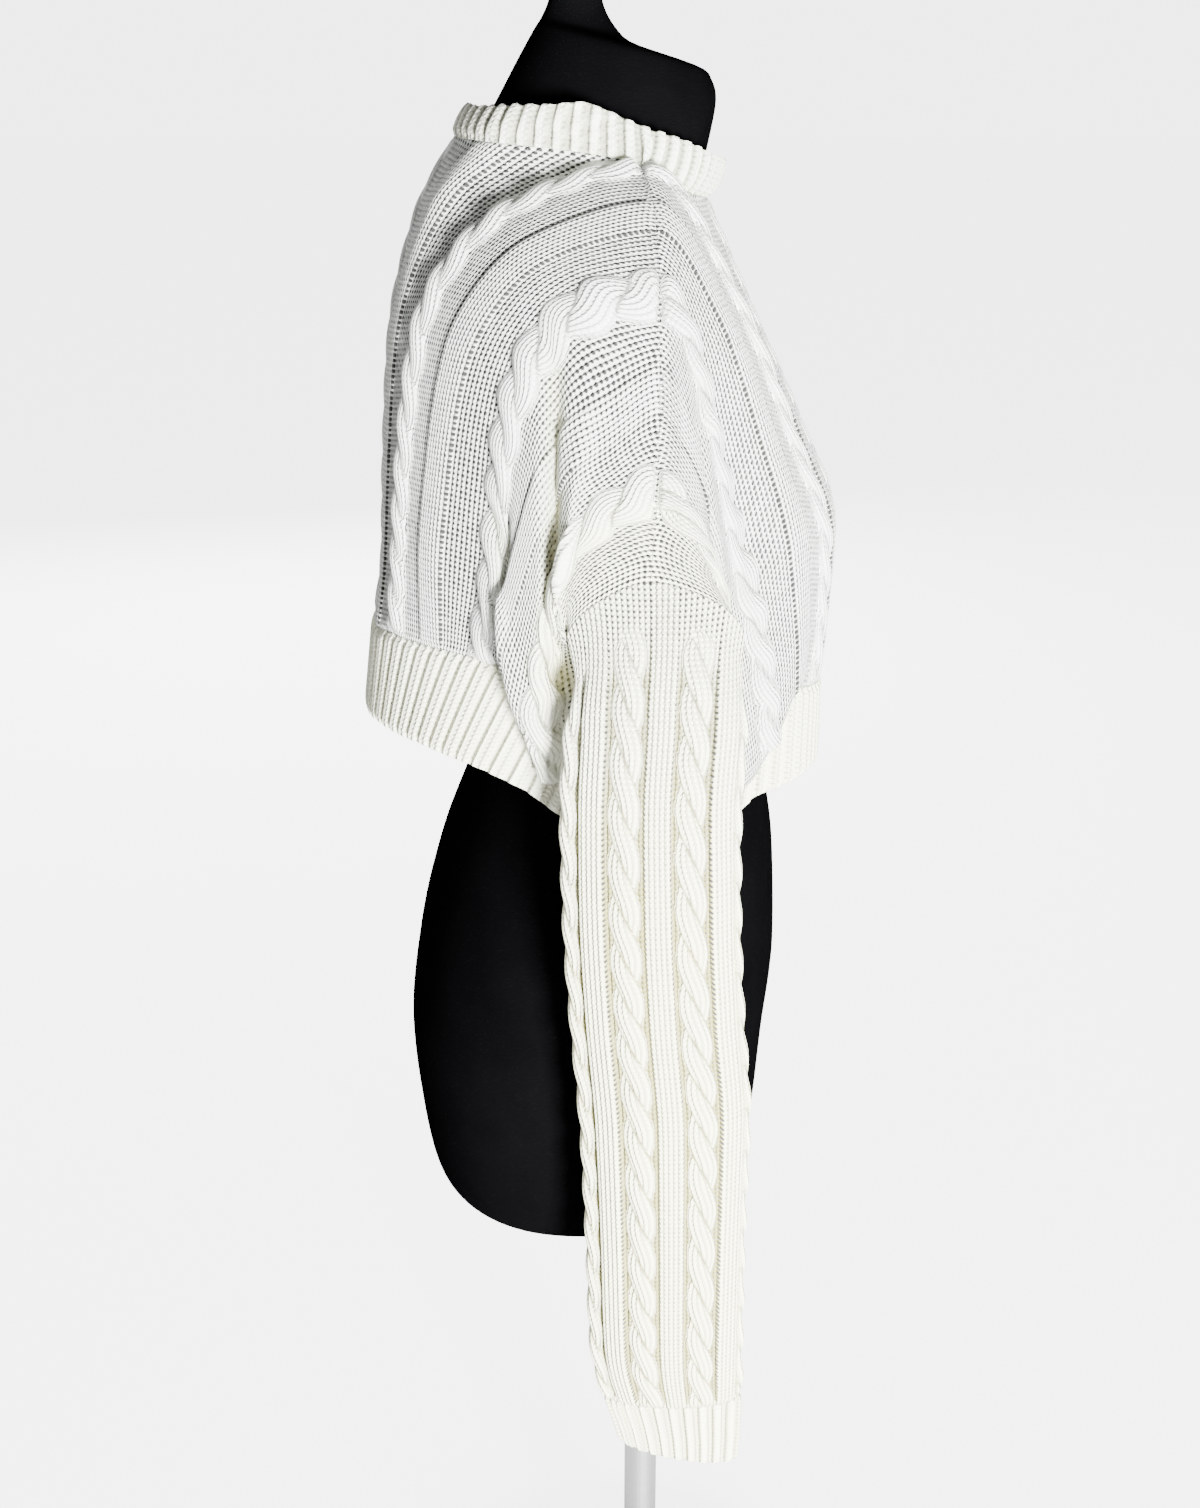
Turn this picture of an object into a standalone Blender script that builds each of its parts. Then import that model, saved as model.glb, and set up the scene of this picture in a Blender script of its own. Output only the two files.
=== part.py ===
"""A cropped cable-knit sweater worn on a limbless dress form that stands on a pole and a round foot.

The frame: +Z up, the floor at Z = 0, the origin under the middle of the foot. The wearer's front is -Y and
the wearer's right is -X. Tables give millimetres as (out, forward, down): out from the middle plane, forward
of the pole, and down from the top of the neckband.
"""

import bmesh
import bpy
import numpy as np

MM = 0.001
NECK_LEVEL = 1070.0    # height of the neckband's top edge above the floor
WALL = 2.0             # thickness of the knitted cloth
SEAM_GAP = 0.3         # clear space between two pieces that are sewn together
PANEL_LENGTH = 250.0   # about how long its columns are, from hem to shoulder
PANEL_HALF = 315.0     # half the width of the front or the back, laid flat

# ---- The body: where each column of knitting passes, from the hem rib up to the shoulder or the neckline ----
# A row is one column of stitches, named by its distance from the middle of the panel. The armhole edge is
# the last row: the side seam runs from rib to low, and the armhole from low to top.
LEVELS = ("rib_end", "rib", "low", "chest", "blade", "yoke", "top")
BACK = {
    #     rib_end           rib               low               chest             blade             yoke             top
    0:   ((0, -163, 322),   (0, -157, 273),   (0, -152, 240),   (0, -149, 186),   (0, -143, 116),   (0, -126, 53),   (0, -105, 16)),
    45:  ((48, -158, 320),  (47, -152, 271),  (47, -147, 238),  (48, -143, 184),  (50, -136, 112),  (55, -112, 46),  (58, -82, 18)),
    90:  ((80, -146, 318),  (78, -138, 267),  (79, -135, 235),  (81, -130, 178),  (85, -117, 102),  (92, -76, 50),   (75, -8, 29)),
    135: ((106, -127, 318), (102, -117, 267), (105, -117, 230), (108, -111, 172), (115, -98, 112),  (123, -60, 66),  (112, -2, 50)),
    180: ((130, -99, 321),  (122, -89, 268),  (135, -83, 232),  (139, -78, 186),  (141, -66, 126),  (143, -33, 88),  (138, 0, 84)),
    225: ((143, -70, 330),  (135, -65, 279),  (149, -77, 252),  (154, -66, 204),  (158, -47, 157),  (157, -24, 141), (152, 0, 127)),
    270: ((149, -38, 349),  (143, -38, 298),  (157, -58, 283),  (161, -54, 246),  (164, -40, 198),  (163, -19, 180), (160, -1, 173)),
    315: ((151, -3, 354),   (146, -3, 304),   (147, -3, 277),   (156, -28, 262),  (167, -44, 243),  (169, -29, 225), (166, -4, 216)),
}
FRONT = {
    #     rib_end           rib               low               chest             blade             yoke             top
    0:   ((0, 98, 350),     (0, 98, 306),     (0, 101, 272),    (0, 104, 220),    (0, 84, 166),     (0, 53, 100),    (0, 29, 47)),
    45:  ((47, 94, 348),    (47, 94, 302),    (47, 97, 270),    (47, 99, 220),    (48, 79, 164),    (51, 45, 96),    (49, 14, 41)),
    90:  ((79, 86, 344),    (78, 86, 296),    (78, 89, 264),    (78, 90, 220),    (79, 69, 158),    (86, 36, 86),    (75, -8, 29)),
    135: ((106, 75, 340),   (103, 75, 290),   (105, 78, 258),   (105, 75, 214),   (106, 56, 152),   (112, 29, 88),   (112, -2, 50)),
    180: ((128, 57, 339),   (122, 57, 290),   (130, 49, 256),   (134, 39, 210),   (138, 29, 164),   (141, 17, 112),  (138, 0, 84)),
    225: ((141, 38, 349),   (135, 38, 298),   (147, 37, 256),   (153, 32, 212),   (157, 24, 172),   (157, 12, 143),  (152, 0, 127)),
    270: ((148, 18, 354),   (143, 18, 303),   (149, 30, 276),   (155, 33, 240),   (162, 25, 205),   (163, 13, 184),  (160, -1, 173)),
    315: ((151, -3, 354),   (146, -3, 304),   (147, -3, 277),   (156, 26, 262),   (167, 42, 242),   (169, 28, 225),  (166, -4, 216)),
}
NECK_COLUMN = 90       # the column that ends where the neckline meets the shoulder seam

# ---- Soft folds in the body: a line across the panel, a width, and how far it stands out (+) or sinks in ----
FOLDS = {
    #                    panel    column, share    column, share   bow    width  height
    "back_shoulder":    ("back",  (188, 0.76),     (278, 0.20),    30,    9.5,   -9.5),
    "back_sleeve_head": ("back",  (224, 0.80),     (290, 0.40),    18,    10,    5.0),
    "back_side_bag":    ("back",  (215, 0.30),     (262, 0.06),    0,     15,    5.0),
    "back_side_dip":    ("back",  (182, 0.40),     (226, 0.04),    0,     15,    -5.0),
    "front_shoulder":   ("front", (196, 0.80),     (250, 0.36),    10,    14,    -6.0),
    "front_side_bag":   ("front", (168, 0.34),     (176, 0.04),    0,     18,    4.5),
    "front_side_dip":   ("front", (212, 0.34),     (222, 0.04),    0,     16,    -4.5),
}

# ---- Where the cloth sags over the hem rib beside the sleeves: how far a panel's lower edge is moved ----
HEM_LAP = {
    #         column  out   forward  down
    "back": ((170,    0,    0,       0),
             (188,    3.4,  0,       0.4),
             (205,    5,    -1,      4),
             (225,    7.5,  -3,      12),
             (250,    8,    -12,     24),
             (270,    8,    -18,     29),
             (290,    7,    -12,     17),
             (315,    6,    -5,      3)),
    "front": ((118,   0,    0,       0),
              (137,   2.4,  3.4,     0.4),
              (155,   4.5,  5,       11),
              (180,   7.5,  4.5,     28),
              (203,   10,   5,       36),
              (225,   11,   5,       37),
              (250,   10.5, 3,       28),
              (282,   8,    -1,      13),
              (315,   6,    -5,      3)),
}
LAP_REACH = 0.22       # the share of a column's height that the sag pulls down

# ---- The sleeve: rings below the armhole ----
SLEEVE_RINGS = {
    #              outer edge        inner edge        back   front
    #              out    down       out    down
    "cap":        (180,   244,       166,   289,       -40,   41),
    "upper":      (192,   276,       168,   303,       -44,   42),
    "bicep":      (201,   324,       168,   332,       -46,   40),
    "above_elbow": (205,  380,       168,   381,       -45,   41),
    "elbow":      (205,   436,       167,   436,       -42,   44),
    "forearm":    (205,   500,       167,   500,       -37,   49),
    "low_arm":    (204,   570,       167,   570,       -34,   48.5),
    "wrist":      (201,   640,       167,   640,       -32,   49),
    "cuff_top":   (194,   679,       169,   679,       -25,   50),
    "cuff_mid":   (191,   700,       170,   700,       -20,   50),
    "cuff_end":   (190,   718,       170,   718,       -16,   49),
}
CUFF_STARTS = "cuff_top"
CUFF_WAVE = 6.5        # the cuff's edge hangs this much lower at the front and higher at the back

# ---- The neckband: an upper edge and the neckline below it; down at the back, at the side and at the front ----
NECKBAND_TOP = {"back": -97, "front": 38, "half_width": 71}
NECKBAND_DROPS = ((-97, 1), (-66, 0), (-36, 0), (-17, 6), (4, 13), (21, 20), (38, 28))
NECKBAND_BOW = 1.5     # the band bulges this much between its edges

# ---- The dress form: rings from the underside to the post on top of the neck ----
FORM_RINGS = {
    #              back (forward, down)   front (forward, down)   half width   squareness
    "underside":   ((-96, 626),           (24, 626),              92,          2.3),
    "under_curve": ((-119, 621),          (47, 621),              116,         2.4),
    "bottom_edge": ((-131, 607),          (60, 607),              132,         2.5),
    "seat_low":    ((-138, 575),          (67, 575),              144,         2.4),
    "seat":        ((-143, 520),          (72, 520),              150,         2.3),
    "hip":         ((-137, 468),          (77, 468),              146,         2.2),
    "belly":       ((-123, 412),          (75, 412),              135,         2.1),
    "low_waist":   ((-107, 370),          (69, 370),              121,         2.1),
    "waist":       ((-93, 330),           (64, 330),              113,         2.1),
    "ribs":        ((-104, 285),          (72, 285),              120,         2.1),
    "under_bust":  ((-125, 250),          (85, 250),              128,         2.1),
    "bust":        ((-137, 212),          (95, 216),              136,         2.1),
    "chest":       ((-139, 168),          (79, 174),              138,         2.1),
    "armhole":     ((-133, 122),          (58, 130),              134,         2.1),
    "shoulder":    ((-125, 84),           (41, 96),               121,         2.1),
    "shoulder_top": ((-113, 58),          (27, 74),               96,          2.1),
    "neck_root":   ((-102, 28),           (22, 56),               70,          2.0),
    "neck":        ((-86, 4),             (27, 30),               57,          2.0),
    "neck_high":   ((-71, -22),           (33, -2),               50,          2.0),
    "neck_edge":   ((-62, -37),           (29, -15),              43,          2.0),
    "post_root":   ((-58, -43),           (-16, -33),             20,          2.0),
    "post":        ((-54, -54),           (-27, -52),             13.5,        2.0),
    "post_top":    ((-53, -76),           (-29, -76),             12,          2.0),
    "post_end":    ((-48, -81),           (-34, -81),             7,           2.0),
}

# ---- The stand ----
POLE_RADIUS = 11.0
COLLAR_RADIUS, COLLAR_HEIGHT = 24.0, 9.0
FOOT_RADIUS, FOOT_THICKNESS, FOOT_EDGE = 140.0, 8.0, 1.5
HUB_RADIUS, HUB_HEIGHT = 22.0, 26.0
TURNED_STEPS = 32

# ---- How finely the solids are cut ----
PANEL_COLUMNS = 42     # a multiple of 14, so that the neckline's corners fall on a column
SEAM_ROWS, ARMHOLE_ROWS = 2, 11
RIB_ROWS = 2
SLEEVE_ROWS, CUFF_ROWS = 14, 2
NECKBAND_ROWS = 2
FORM_POINTS = 32

COLOURS = {
    #            red    green  blue   roughness  metallic
    "knit":     (0.83,  0.82,  0.74,  0.92,      0.0),
    "rib":      (0.84,  0.82,  0.75,  0.92,      0.0),
    "jersey":   (0.012, 0.012, 0.013, 0.62,      0.0),
    "steel":    (0.62,  0.62,  0.63,  0.32,      1.0),
}


# ---- Curves and grids ----
def steady(knots, values, at):
    """A smooth curve through values at knots that never swings past them: its slope at a knot is the harmonic
    mean of the slopes on either side, or level where they differ in sign."""
    knots, at = np.asarray(knots, float), np.asarray(at, float)
    shape = np.shape(values)[1:]
    values = np.asarray(values, float).reshape(len(knots), -1)
    step = np.diff(knots)[:, None]
    slope = np.diff(values, axis=0) / step
    before, after = slope[:-1], slope[1:]
    same = before * after > 0
    middle = np.where(same, 2 * before * after / np.where(same, before + after, 1), 0)
    tangent = np.concatenate([slope[:1], middle, slope[-1:]])
    k = np.clip(np.searchsorted(knots, at) - 1, 0, len(step) - 1)
    h = step[k]
    t = np.clip((at - knots[k])[:, None] / h, 0, 1)
    curve = (
        values[k] * (1 + 2 * t) * (1 - t) ** 2 + tangent[k] * h * t * (1 - t) ** 2
        + values[k + 1] * t * t * (3 - 2 * t) + tangent[k + 1] * h * t * t * (t - 1)
    )
    return curve.reshape((len(at),) + shape)


def lengths_along(points):
    """The distance of each point from the first, measured along the line through them."""
    return np.concatenate([[0], np.cumsum(np.linalg.norm(np.diff(points, axis=0), axis=1))])


def mirrored(columns, points):
    """A table's columns and their points, with the same again on the wearer's right."""
    return np.concatenate([-columns[:0:-1], columns]), np.concatenate([points[:0:-1] * (-1, 1, 1), points])


def in_frame(points, side=1):
    """(out, forward, down) in millimetres as a place in metres. side is 1 on the wearer's left."""
    out, forward, down = np.moveaxis(np.asarray(points, float), -1, 0)
    return np.stack([out * side, -forward, NECK_LEVEL - down], axis=-1) * MM


# ---- Meshes and objects ----
def material(name):
    made = bpy.data.materials.get(name)
    if made is None:
        red, green, blue, roughness, metallic = COLOURS[name]
        made = bpy.data.materials.new(name)
        made.use_nodes = True
        shader = made.node_tree.nodes["Principled BSDF"]
        shader.inputs["Base Color"].default_value = (red, green, blue, 1)
        shader.inputs["Roughness"].default_value = roughness
        shader.inputs["Metallic"].default_value = metallic
    return made


def add_object(name, mesh, finish):
    obj = bpy.data.objects.new(name, mesh)
    mesh.materials.append(material(finish))
    parts.objects.link(obj)
    return obj


def grid_faces(rows, columns, ring, first=0):
    """Four-sided faces over a grid of numbered points, joined round its second index if it is a ring."""
    faces = []
    for r in range(rows - 1):
        for c in range(columns if ring else columns - 1):
            here, beside = first + r * columns + c, first + r * columns + (c + 1) % columns
            faces.append((here, beside, beside + columns, here + columns))
    return faces


def grid_edge(rows, columns, ring):
    """The numbers of a grid's edge points in order: one closed loop, or the two ends of a ring."""
    top = [(rows - 1) * columns + c for c in range(columns)]
    if ring:
        return [list(range(columns)), top]
    right = [r * columns + columns - 1 for r in range(1, rows - 1)]
    left = [r * columns for r in range(1, rows - 1)]
    return [list(range(columns)) + right + top[::-1] + left[::-1]]


class Cloth:
    """One piece of the garment: its outer face as a grid of points, and whether it closes round on itself."""

    def __init__(self, name, finish, grid, ring=False):
        self.name, self.finish, self.grid, self.ring = name, finish, grid, ring
        self.normals = self.outward()

    def outward(self):
        """Unit normals, turned away from the middle of the body or of the sleeve."""
        across = np.gradient(self.grid, axis=1)
        if self.ring:
            across = np.roll(self.grid, -1, axis=1) - np.roll(self.grid, 1, axis=1)
        normal = np.cross(across, np.gradient(self.grid, axis=0))
        normal /= np.linalg.norm(normal, axis=-1, keepdims=True)
        middle = self.grid.mean(axis=1, keepdims=True) if self.ring else self.grid.mean(axis=(0, 1))
        if not self.ring:
            middle = middle * (0, 0, 1)
        facing = np.sum(normal * (self.grid - middle))
        return normal * np.sign(facing)

    def edge_points(self):
        """The grid places of every point that lies on a seam or a free edge."""
        rows, columns = self.grid.shape[:2]
        loops = grid_edge(rows, columns, self.ring)
        return [divmod(k, columns) for loop in loops for k in loop]

    def drawn_back(self):
        """The grid with each edge drawn back, square to itself, by half the seam gap."""
        grid = self.grid.copy()
        pairs = [(grid[0], grid[1]), (grid[-1], grid[-2])]
        if not self.ring:
            pairs += [(grid[:, 0], grid[:, 1]), (grid[:, -1], grid[:, -2])]
        for edge, beside in pairs:
            along = np.gradient(edge, axis=0)
            if self.ring:
                along = np.roll(edge, -1, axis=0) - np.roll(edge, 1, axis=0)
            along /= np.linalg.norm(along, axis=-1, keepdims=True)
            inward = beside - edge
            inward -= along * np.sum(inward * along, axis=-1, keepdims=True)
            edge += inward / np.linalg.norm(inward, axis=-1, keepdims=True) * SEAM_GAP / 2
        return grid

    def build(self):
        """Both faces of the wall, joined round the edges. At a seam the wall's direction is the mean of both
        pieces', so their edges meet as a mitre, which Solidify can't do between two objects."""
        rows, columns = self.grid.shape[:2]
        outer = self.drawn_back()
        inner = outer - self.normals * WALL
        count = rows * columns
        faces = grid_faces(rows, columns, self.ring)
        faces += [tuple(reversed(f)) for f in grid_faces(rows, columns, self.ring, first=count)]
        for loop in grid_edge(rows, columns, self.ring):
            for here, beside in zip(loop, loop[1:] + loop[:1]):
                faces.append((here, beside, beside + count, here + count))
        mesh = bpy.data.meshes.new(self.name)
        points = np.concatenate([in_frame(outer).reshape(-1, 3), in_frame(inner).reshape(-1, 3)])
        mesh.from_pydata([tuple(p) for p in points], [], faces)
        shape = bmesh.new()
        shape.from_mesh(mesh)
        bmesh.ops.triangulate(shape, faces=shape.faces, quad_method="SHORT_EDGE")
        bmesh.ops.recalc_face_normals(shape, faces=shape.faces)
        shape.to_mesh(mesh)
        shape.free()
        mesh.shade_smooth()
        mesh.set_sharp_from_angle(angle=np.radians(50))
        add_object(self.name, mesh, self.finish)


def share_seams(pieces):
    """Gives points of different pieces that meet at a seam one direction, the mean of all of theirs."""
    places = [(piece, place) for piece in pieces for place in piece.edge_points()]
    points = np.array([piece.grid[place] for piece, place in places])
    normals = np.array([piece.normals[place] for piece, place in places])
    for k, (piece, place) in enumerate(places):
        met = np.linalg.norm(points - points[k], axis=1) < SEAM_GAP
        mean = normals[met].sum(axis=0)
        piece.normals[place] = mean / np.linalg.norm(mean)


# ---- The body ----
def column_curves(panel, levels=("rib", "top")):
    """The panel's table columns and, for each, the curve of its stitches between two levels as a function of
    the share of its length. A column outside the neckline runs on over the shoulder into the other panel."""
    first, last = (LEVELS.index(name) for name in levels)
    table, other = (BACK, FRONT) if panel == "back" else (FRONT, BACK)
    curves = []
    for column in sorted(table):
        points = np.array(table[column][first: last + 1], float)
        length = lengths_along(points)
        if column >= NECK_COLUMN and levels[1] == "top":
            beyond = np.array(other[column][::-1][1:], float)
            points = np.concatenate([points, beyond])
        knots = lengths_along(points) / length[-1]
        curves.append(lambda at, knots=knots, points=points: steady(knots, points, at))
    return np.array(sorted(table), float), curves


def fold_height(panel, column, height):
    """How far the soft folds lift the cloth at each (column, share of its height)."""
    lift = np.zeros_like(column)
    for where, top, bottom, bow, width, amount in FOLDS.values():
        if where != panel:
            continue
        share = (height - bottom[1]) / (top[1] - bottom[1])
        line = bottom[0] + (top[0] - bottom[0]) * share + bow * 4 * share * (1 - share)
        slope = (top[0] - bottom[0] + bow * 4 * (1 - 2 * share)) / (top[1] - bottom[1]) / PANEL_LENGTH
        ends = np.exp(-((np.clip(np.abs(share - 0.5) - 0.32, 0, None) / 0.16) ** 2))
        lift += amount * ends * np.exp(-(((column - line) / width) ** 2 / (1 + slope**2)))
    return lift


def hem_lap(panel, column):
    """How far the lower edge of a panel is moved at each column, as (out, forward, down)."""
    table = np.array(HEM_LAP[panel], float)
    shift = steady(table[:, 0], table[:, 1:], np.abs(column))
    shift[:, 0] *= np.sign(column)
    return shift * (np.abs(column) > table[0, 0])[:, None]


def body_grid(panel, columns, heights):
    """The body's cloth from the hem rib to the top edge, as (out, forward, down), for the given columns
    (negative on the wearer's right) and shares of each column's height."""
    known, curves = column_curves(panel)
    along = np.array([curve(heights) for curve in curves])
    grid = steady(*mirrored(known, along), columns).transpose(1, 0, 2)
    sag = np.clip(1 - heights / LAP_REACH, 0, 1) ** 2
    grid = grid + hem_lap(panel, columns)[None] * sag[:, None, None]
    piece = Cloth(panel, "knit", grid)
    lift = fold_height(panel, *np.meshgrid(np.abs(columns), heights))
    return grid + piece.normals * lift[..., None]


def panel_columns():
    return np.linspace(-PANEL_HALF, PANEL_HALF, PANEL_COLUMNS + 1)


def panel_heights(panel):
    """Rows of a panel: a few up the side seam, then evenly up the armhole."""
    table = BACK if panel == "back" else FRONT
    edge = lengths_along(np.array(table[PANEL_HALF][LEVELS.index("rib"):], float))
    underarm = edge[1] / edge[-1]
    return np.concatenate([
        np.linspace(0, underarm, SEAM_ROWS + 1)[:-1],
        np.linspace(underarm, 1, ARMHOLE_ROWS + 1),
    ])


def body_panel(panel):
    return Cloth(panel, "knit", body_grid(panel, panel_columns(), panel_heights(panel)))


def sew_sides_and_shoulders(back, front):
    """Brings the two panels' edges to the same points along the side seams and the shoulder seams."""
    shoulder = np.abs(panel_columns()) > NECK_COLUMN - 1
    sides = np.ix_(range(SEAM_ROWS + 1), (0, -1))
    for seam in ((-1, shoulder), sides):
        middle = (back.grid[seam] + front.grid[seam]) / 2
        back.grid[seam] = middle
        front.grid[seam] = middle


def rib_panel(panel):
    """The ribbed hem below a panel, from its free edge up to the panel's own lower edge."""
    known, curves = column_curves(panel, ("rib_end", "rib"))
    along = np.array([curve(np.linspace(0, 1, RIB_ROWS + 1)) for curve in curves])
    grid = steady(*mirrored(known, along), panel_columns()).transpose(1, 0, 2)
    return Cloth(f"hem_rib_{panel}", "rib", grid)


# ---- The sleeves ----
def armhole_loop(back, front, side):
    """The armhole as a loop of the panels' own points, from the underarm up the back and down the front."""
    edge = -1 if side > 0 else 0
    up_the_back = back.grid[SEAM_ROWS:, edge]
    down_the_front = front.grid[SEAM_ROWS:, edge][::-1]
    return np.concatenate([up_the_back, down_the_front[1:-1]]) * (side, 1, 1)


def sleeve_ring(ring, count):
    """A ring of the sleeve: an oval through its outer and inner edge, from the inner edge round the back."""
    outer_out, outer_down, inner_out, inner_down, back, front = ring
    turn = np.linspace(0, 2 * np.pi, count, endpoint=False)
    middle = np.array([(outer_out + inner_out) / 2, (back + front) / 2, (outer_down + inner_down) / 2])
    to_inner = np.array([(inner_out - outer_out) / 2, 0, (inner_down - outer_down) / 2])
    to_back = np.array([0, (back - front) / 2, 0])
    return middle + np.cos(turn)[:, None] * to_inner + np.sin(turn)[:, None] * to_back


def sleeve_grid(shares, armhole):
    """Rings of the sleeve's cloth at places in the table of rings, with the armhole as place 0."""
    count = len(armhole)
    rings = np.array([armhole] + [sleeve_ring(r, count) for r in SLEEVE_RINGS.values()])
    grid = steady(np.arange(len(rings)), rings, shares)
    turn = np.linspace(0, 2 * np.pi, count, endpoint=False)
    towards_end = np.clip(shares - (len(rings) - 3), 0, 2)[:, None] / 2
    grid[..., 2] -= CUFF_WAVE * np.sin(turn)[None] * towards_end
    return grid


def sleeve(back, front, side, name):
    """A sleeve and its cuff, which share the ring between them."""
    armhole = armhole_loop(back, front, side)
    cuff, last = 1 + list(SLEEVE_RINGS).index(CUFF_STARTS), len(SLEEVE_RINGS)
    arm = sleeve_grid(np.linspace(0, cuff, SLEEVE_ROWS + 1), armhole) * (side, 1, 1)
    wrist = sleeve_grid(np.linspace(cuff, last, CUFF_ROWS + 1), armhole) * (side, 1, 1)
    return [Cloth(f"sleeve_{name}", "knit", arm, ring=True), Cloth(f"cuff_{name}", "rib", wrist, ring=True)]


# ---- The neckband ----
def neckline(back, front):
    """The neckline as a loop of the panels' own points, from the wearer's left round the front."""
    step = 2 * PANEL_HALF / PANEL_COLUMNS
    reach = round(NECK_COLUMN / step)
    middle = PANEL_COLUMNS // 2
    across_front = front.grid[-1, middle - reach: middle + reach + 1][::-1]
    across_back = back.grid[-1, middle - reach: middle + reach + 1]
    return np.concatenate([across_front, across_back[1:-1]])


def neckband(back, front):
    """The band from the neckline to its upper edge, an oval of its own that drops towards the front."""
    below = neckline(back, front)
    size = NECKBAND_TOP
    middle, reach = (size["front"] + size["back"]) / 2, (size["front"] - size["back"]) / 2
    low_middle = (below[:, 1].max() + below[:, 1].min()) / 2
    low_reach = (below[:, 1].max() - below[:, 1].min()) / 2
    turn = np.arctan2(below[:, 0] / below[:, 0].max(), (below[:, 1] - low_middle) / low_reach)
    above = np.stack([size["half_width"] * np.sin(turn), middle + reach * np.cos(turn)], axis=1)
    place, drop = np.array(NECKBAND_DROPS, float).T
    above = np.column_stack([above, np.interp(above[:, 1], place, drop)])
    shares = np.linspace(0, 1, NECKBAND_ROWS + 1)[:, None, None]
    away = np.stack([np.sin(turn), np.cos(turn), 0 * turn], axis=1)
    grid = below + (above - below) * shares + away * NECKBAND_BOW * 4 * shares * (1 - shares)
    return Cloth("neckband", "rib", grid, ring=True)


# ---- The dress form and its stand ----
def form_ring(ring, count):
    """An oval ring of the form, flatter at front and back the higher its squareness."""
    (back, back_down), (front, front_down), half_width, squareness = ring
    turn = np.linspace(0, 2 * np.pi, count, endpoint=False)
    across = np.sign(np.sin(turn)) * np.abs(np.sin(turn)) ** (2 / squareness)
    ahead = np.sign(np.cos(turn)) * np.abs(np.cos(turn)) ** (2 / squareness)
    return np.stack([
        half_width * across,
        (front + back) / 2 + (front - back) / 2 * ahead,
        (front_down + back_down) / 2 + (front_down - back_down) / 2 * ahead,
    ], axis=1)


def dress_form():
    rings = np.array([form_ring(r, FORM_POINTS) for r in FORM_RINGS.values()])
    rows, columns = rings.shape[:2]
    faces = grid_faces(rows, columns, ring=True)
    faces += [tuple(range(columns))[::-1], tuple((rows - 1) * columns + c for c in range(columns))]
    mesh = bpy.data.meshes.new("dress_form")
    mesh.from_pydata([tuple(p) for p in in_frame(rings).reshape(-1, 3)], [], faces)
    mesh.shade_smooth()
    add_object("dress_form", mesh, "jersey")


def turned(name, profile, finish):
    """A piece turned on a lathe: a profile of (radius, height) run round the Z axis."""
    mesh = bpy.data.meshes.new(name)
    points = [(radius * MM, 0, height * MM) for radius, height in profile]
    mesh.from_pydata(points, [(k, k + 1) for k in range(len(points) - 1)], [])
    obj = add_object(name, mesh, finish)
    spin = obj.modifiers.new("spin", "SCREW")
    spin.steps = spin.render_steps = TURNED_STEPS
    spin.use_merge_vertices = True
    spin.merge_threshold = 1e-5
    return obj


def stand():
    underside = NECK_LEVEL - FORM_RINGS["underside"][0][1] - SEAM_GAP
    pole_foot = FOOT_THICKNESS + SEAM_GAP
    turned("pole", (
        (0, underside),
        (COLLAR_RADIUS, underside),
        (COLLAR_RADIUS, underside - COLLAR_HEIGHT),
        (POLE_RADIUS, underside - COLLAR_HEIGHT),
        (POLE_RADIUS, pole_foot),
        (0, pole_foot),
    ), "steel")
    turned("foot", (
        (0, FOOT_THICKNESS),
        (POLE_RADIUS + SEAM_GAP, FOOT_THICKNESS),
        (POLE_RADIUS + SEAM_GAP, HUB_HEIGHT),
        (HUB_RADIUS - FOOT_EDGE, HUB_HEIGHT),
        (HUB_RADIUS, HUB_HEIGHT - FOOT_EDGE),
        (HUB_RADIUS, FOOT_THICKNESS),
        (FOOT_RADIUS - FOOT_EDGE, FOOT_THICKNESS),
        (FOOT_RADIUS, FOOT_THICKNESS - FOOT_EDGE),
        (FOOT_RADIUS, 0),
        (0, 0),
    ), "steel")


for old in list(bpy.data.objects):
    bpy.data.objects.remove(old)
parts = bpy.data.collections.new("cropped_sweater_on_form")
bpy.context.scene.collection.children.link(parts)

back_panel, front_panel = body_panel("back"), body_panel("front")
sew_sides_and_shoulders(back_panel, front_panel)
garment = [back_panel, front_panel, rib_panel("back"), rib_panel("front"), neckband(back_panel, front_panel)]
for direction, wearer_side in ((-1, "right"), (1, "left")):
    garment += sleeve(back_panel, front_panel, direction, wearer_side)
share_seams(garment)
for cloth in garment:
    cloth.build()
dress_form()
stand()
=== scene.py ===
"""A cropped cable-knit sweater on a limbless dress form: its knitting, its cloth and its finishes.

The frame: +Z up, the floor at Z = 0, metres. The wearer's front is -Y and the wearer's right is -X. Tables
give millimetres as (out, forward, down): out from the middle plane, forward of the pole, and down from the
top of the neckband. Stitches are counted in wales (columns) across and in courses (rows) up the cloth.
"""

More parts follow.
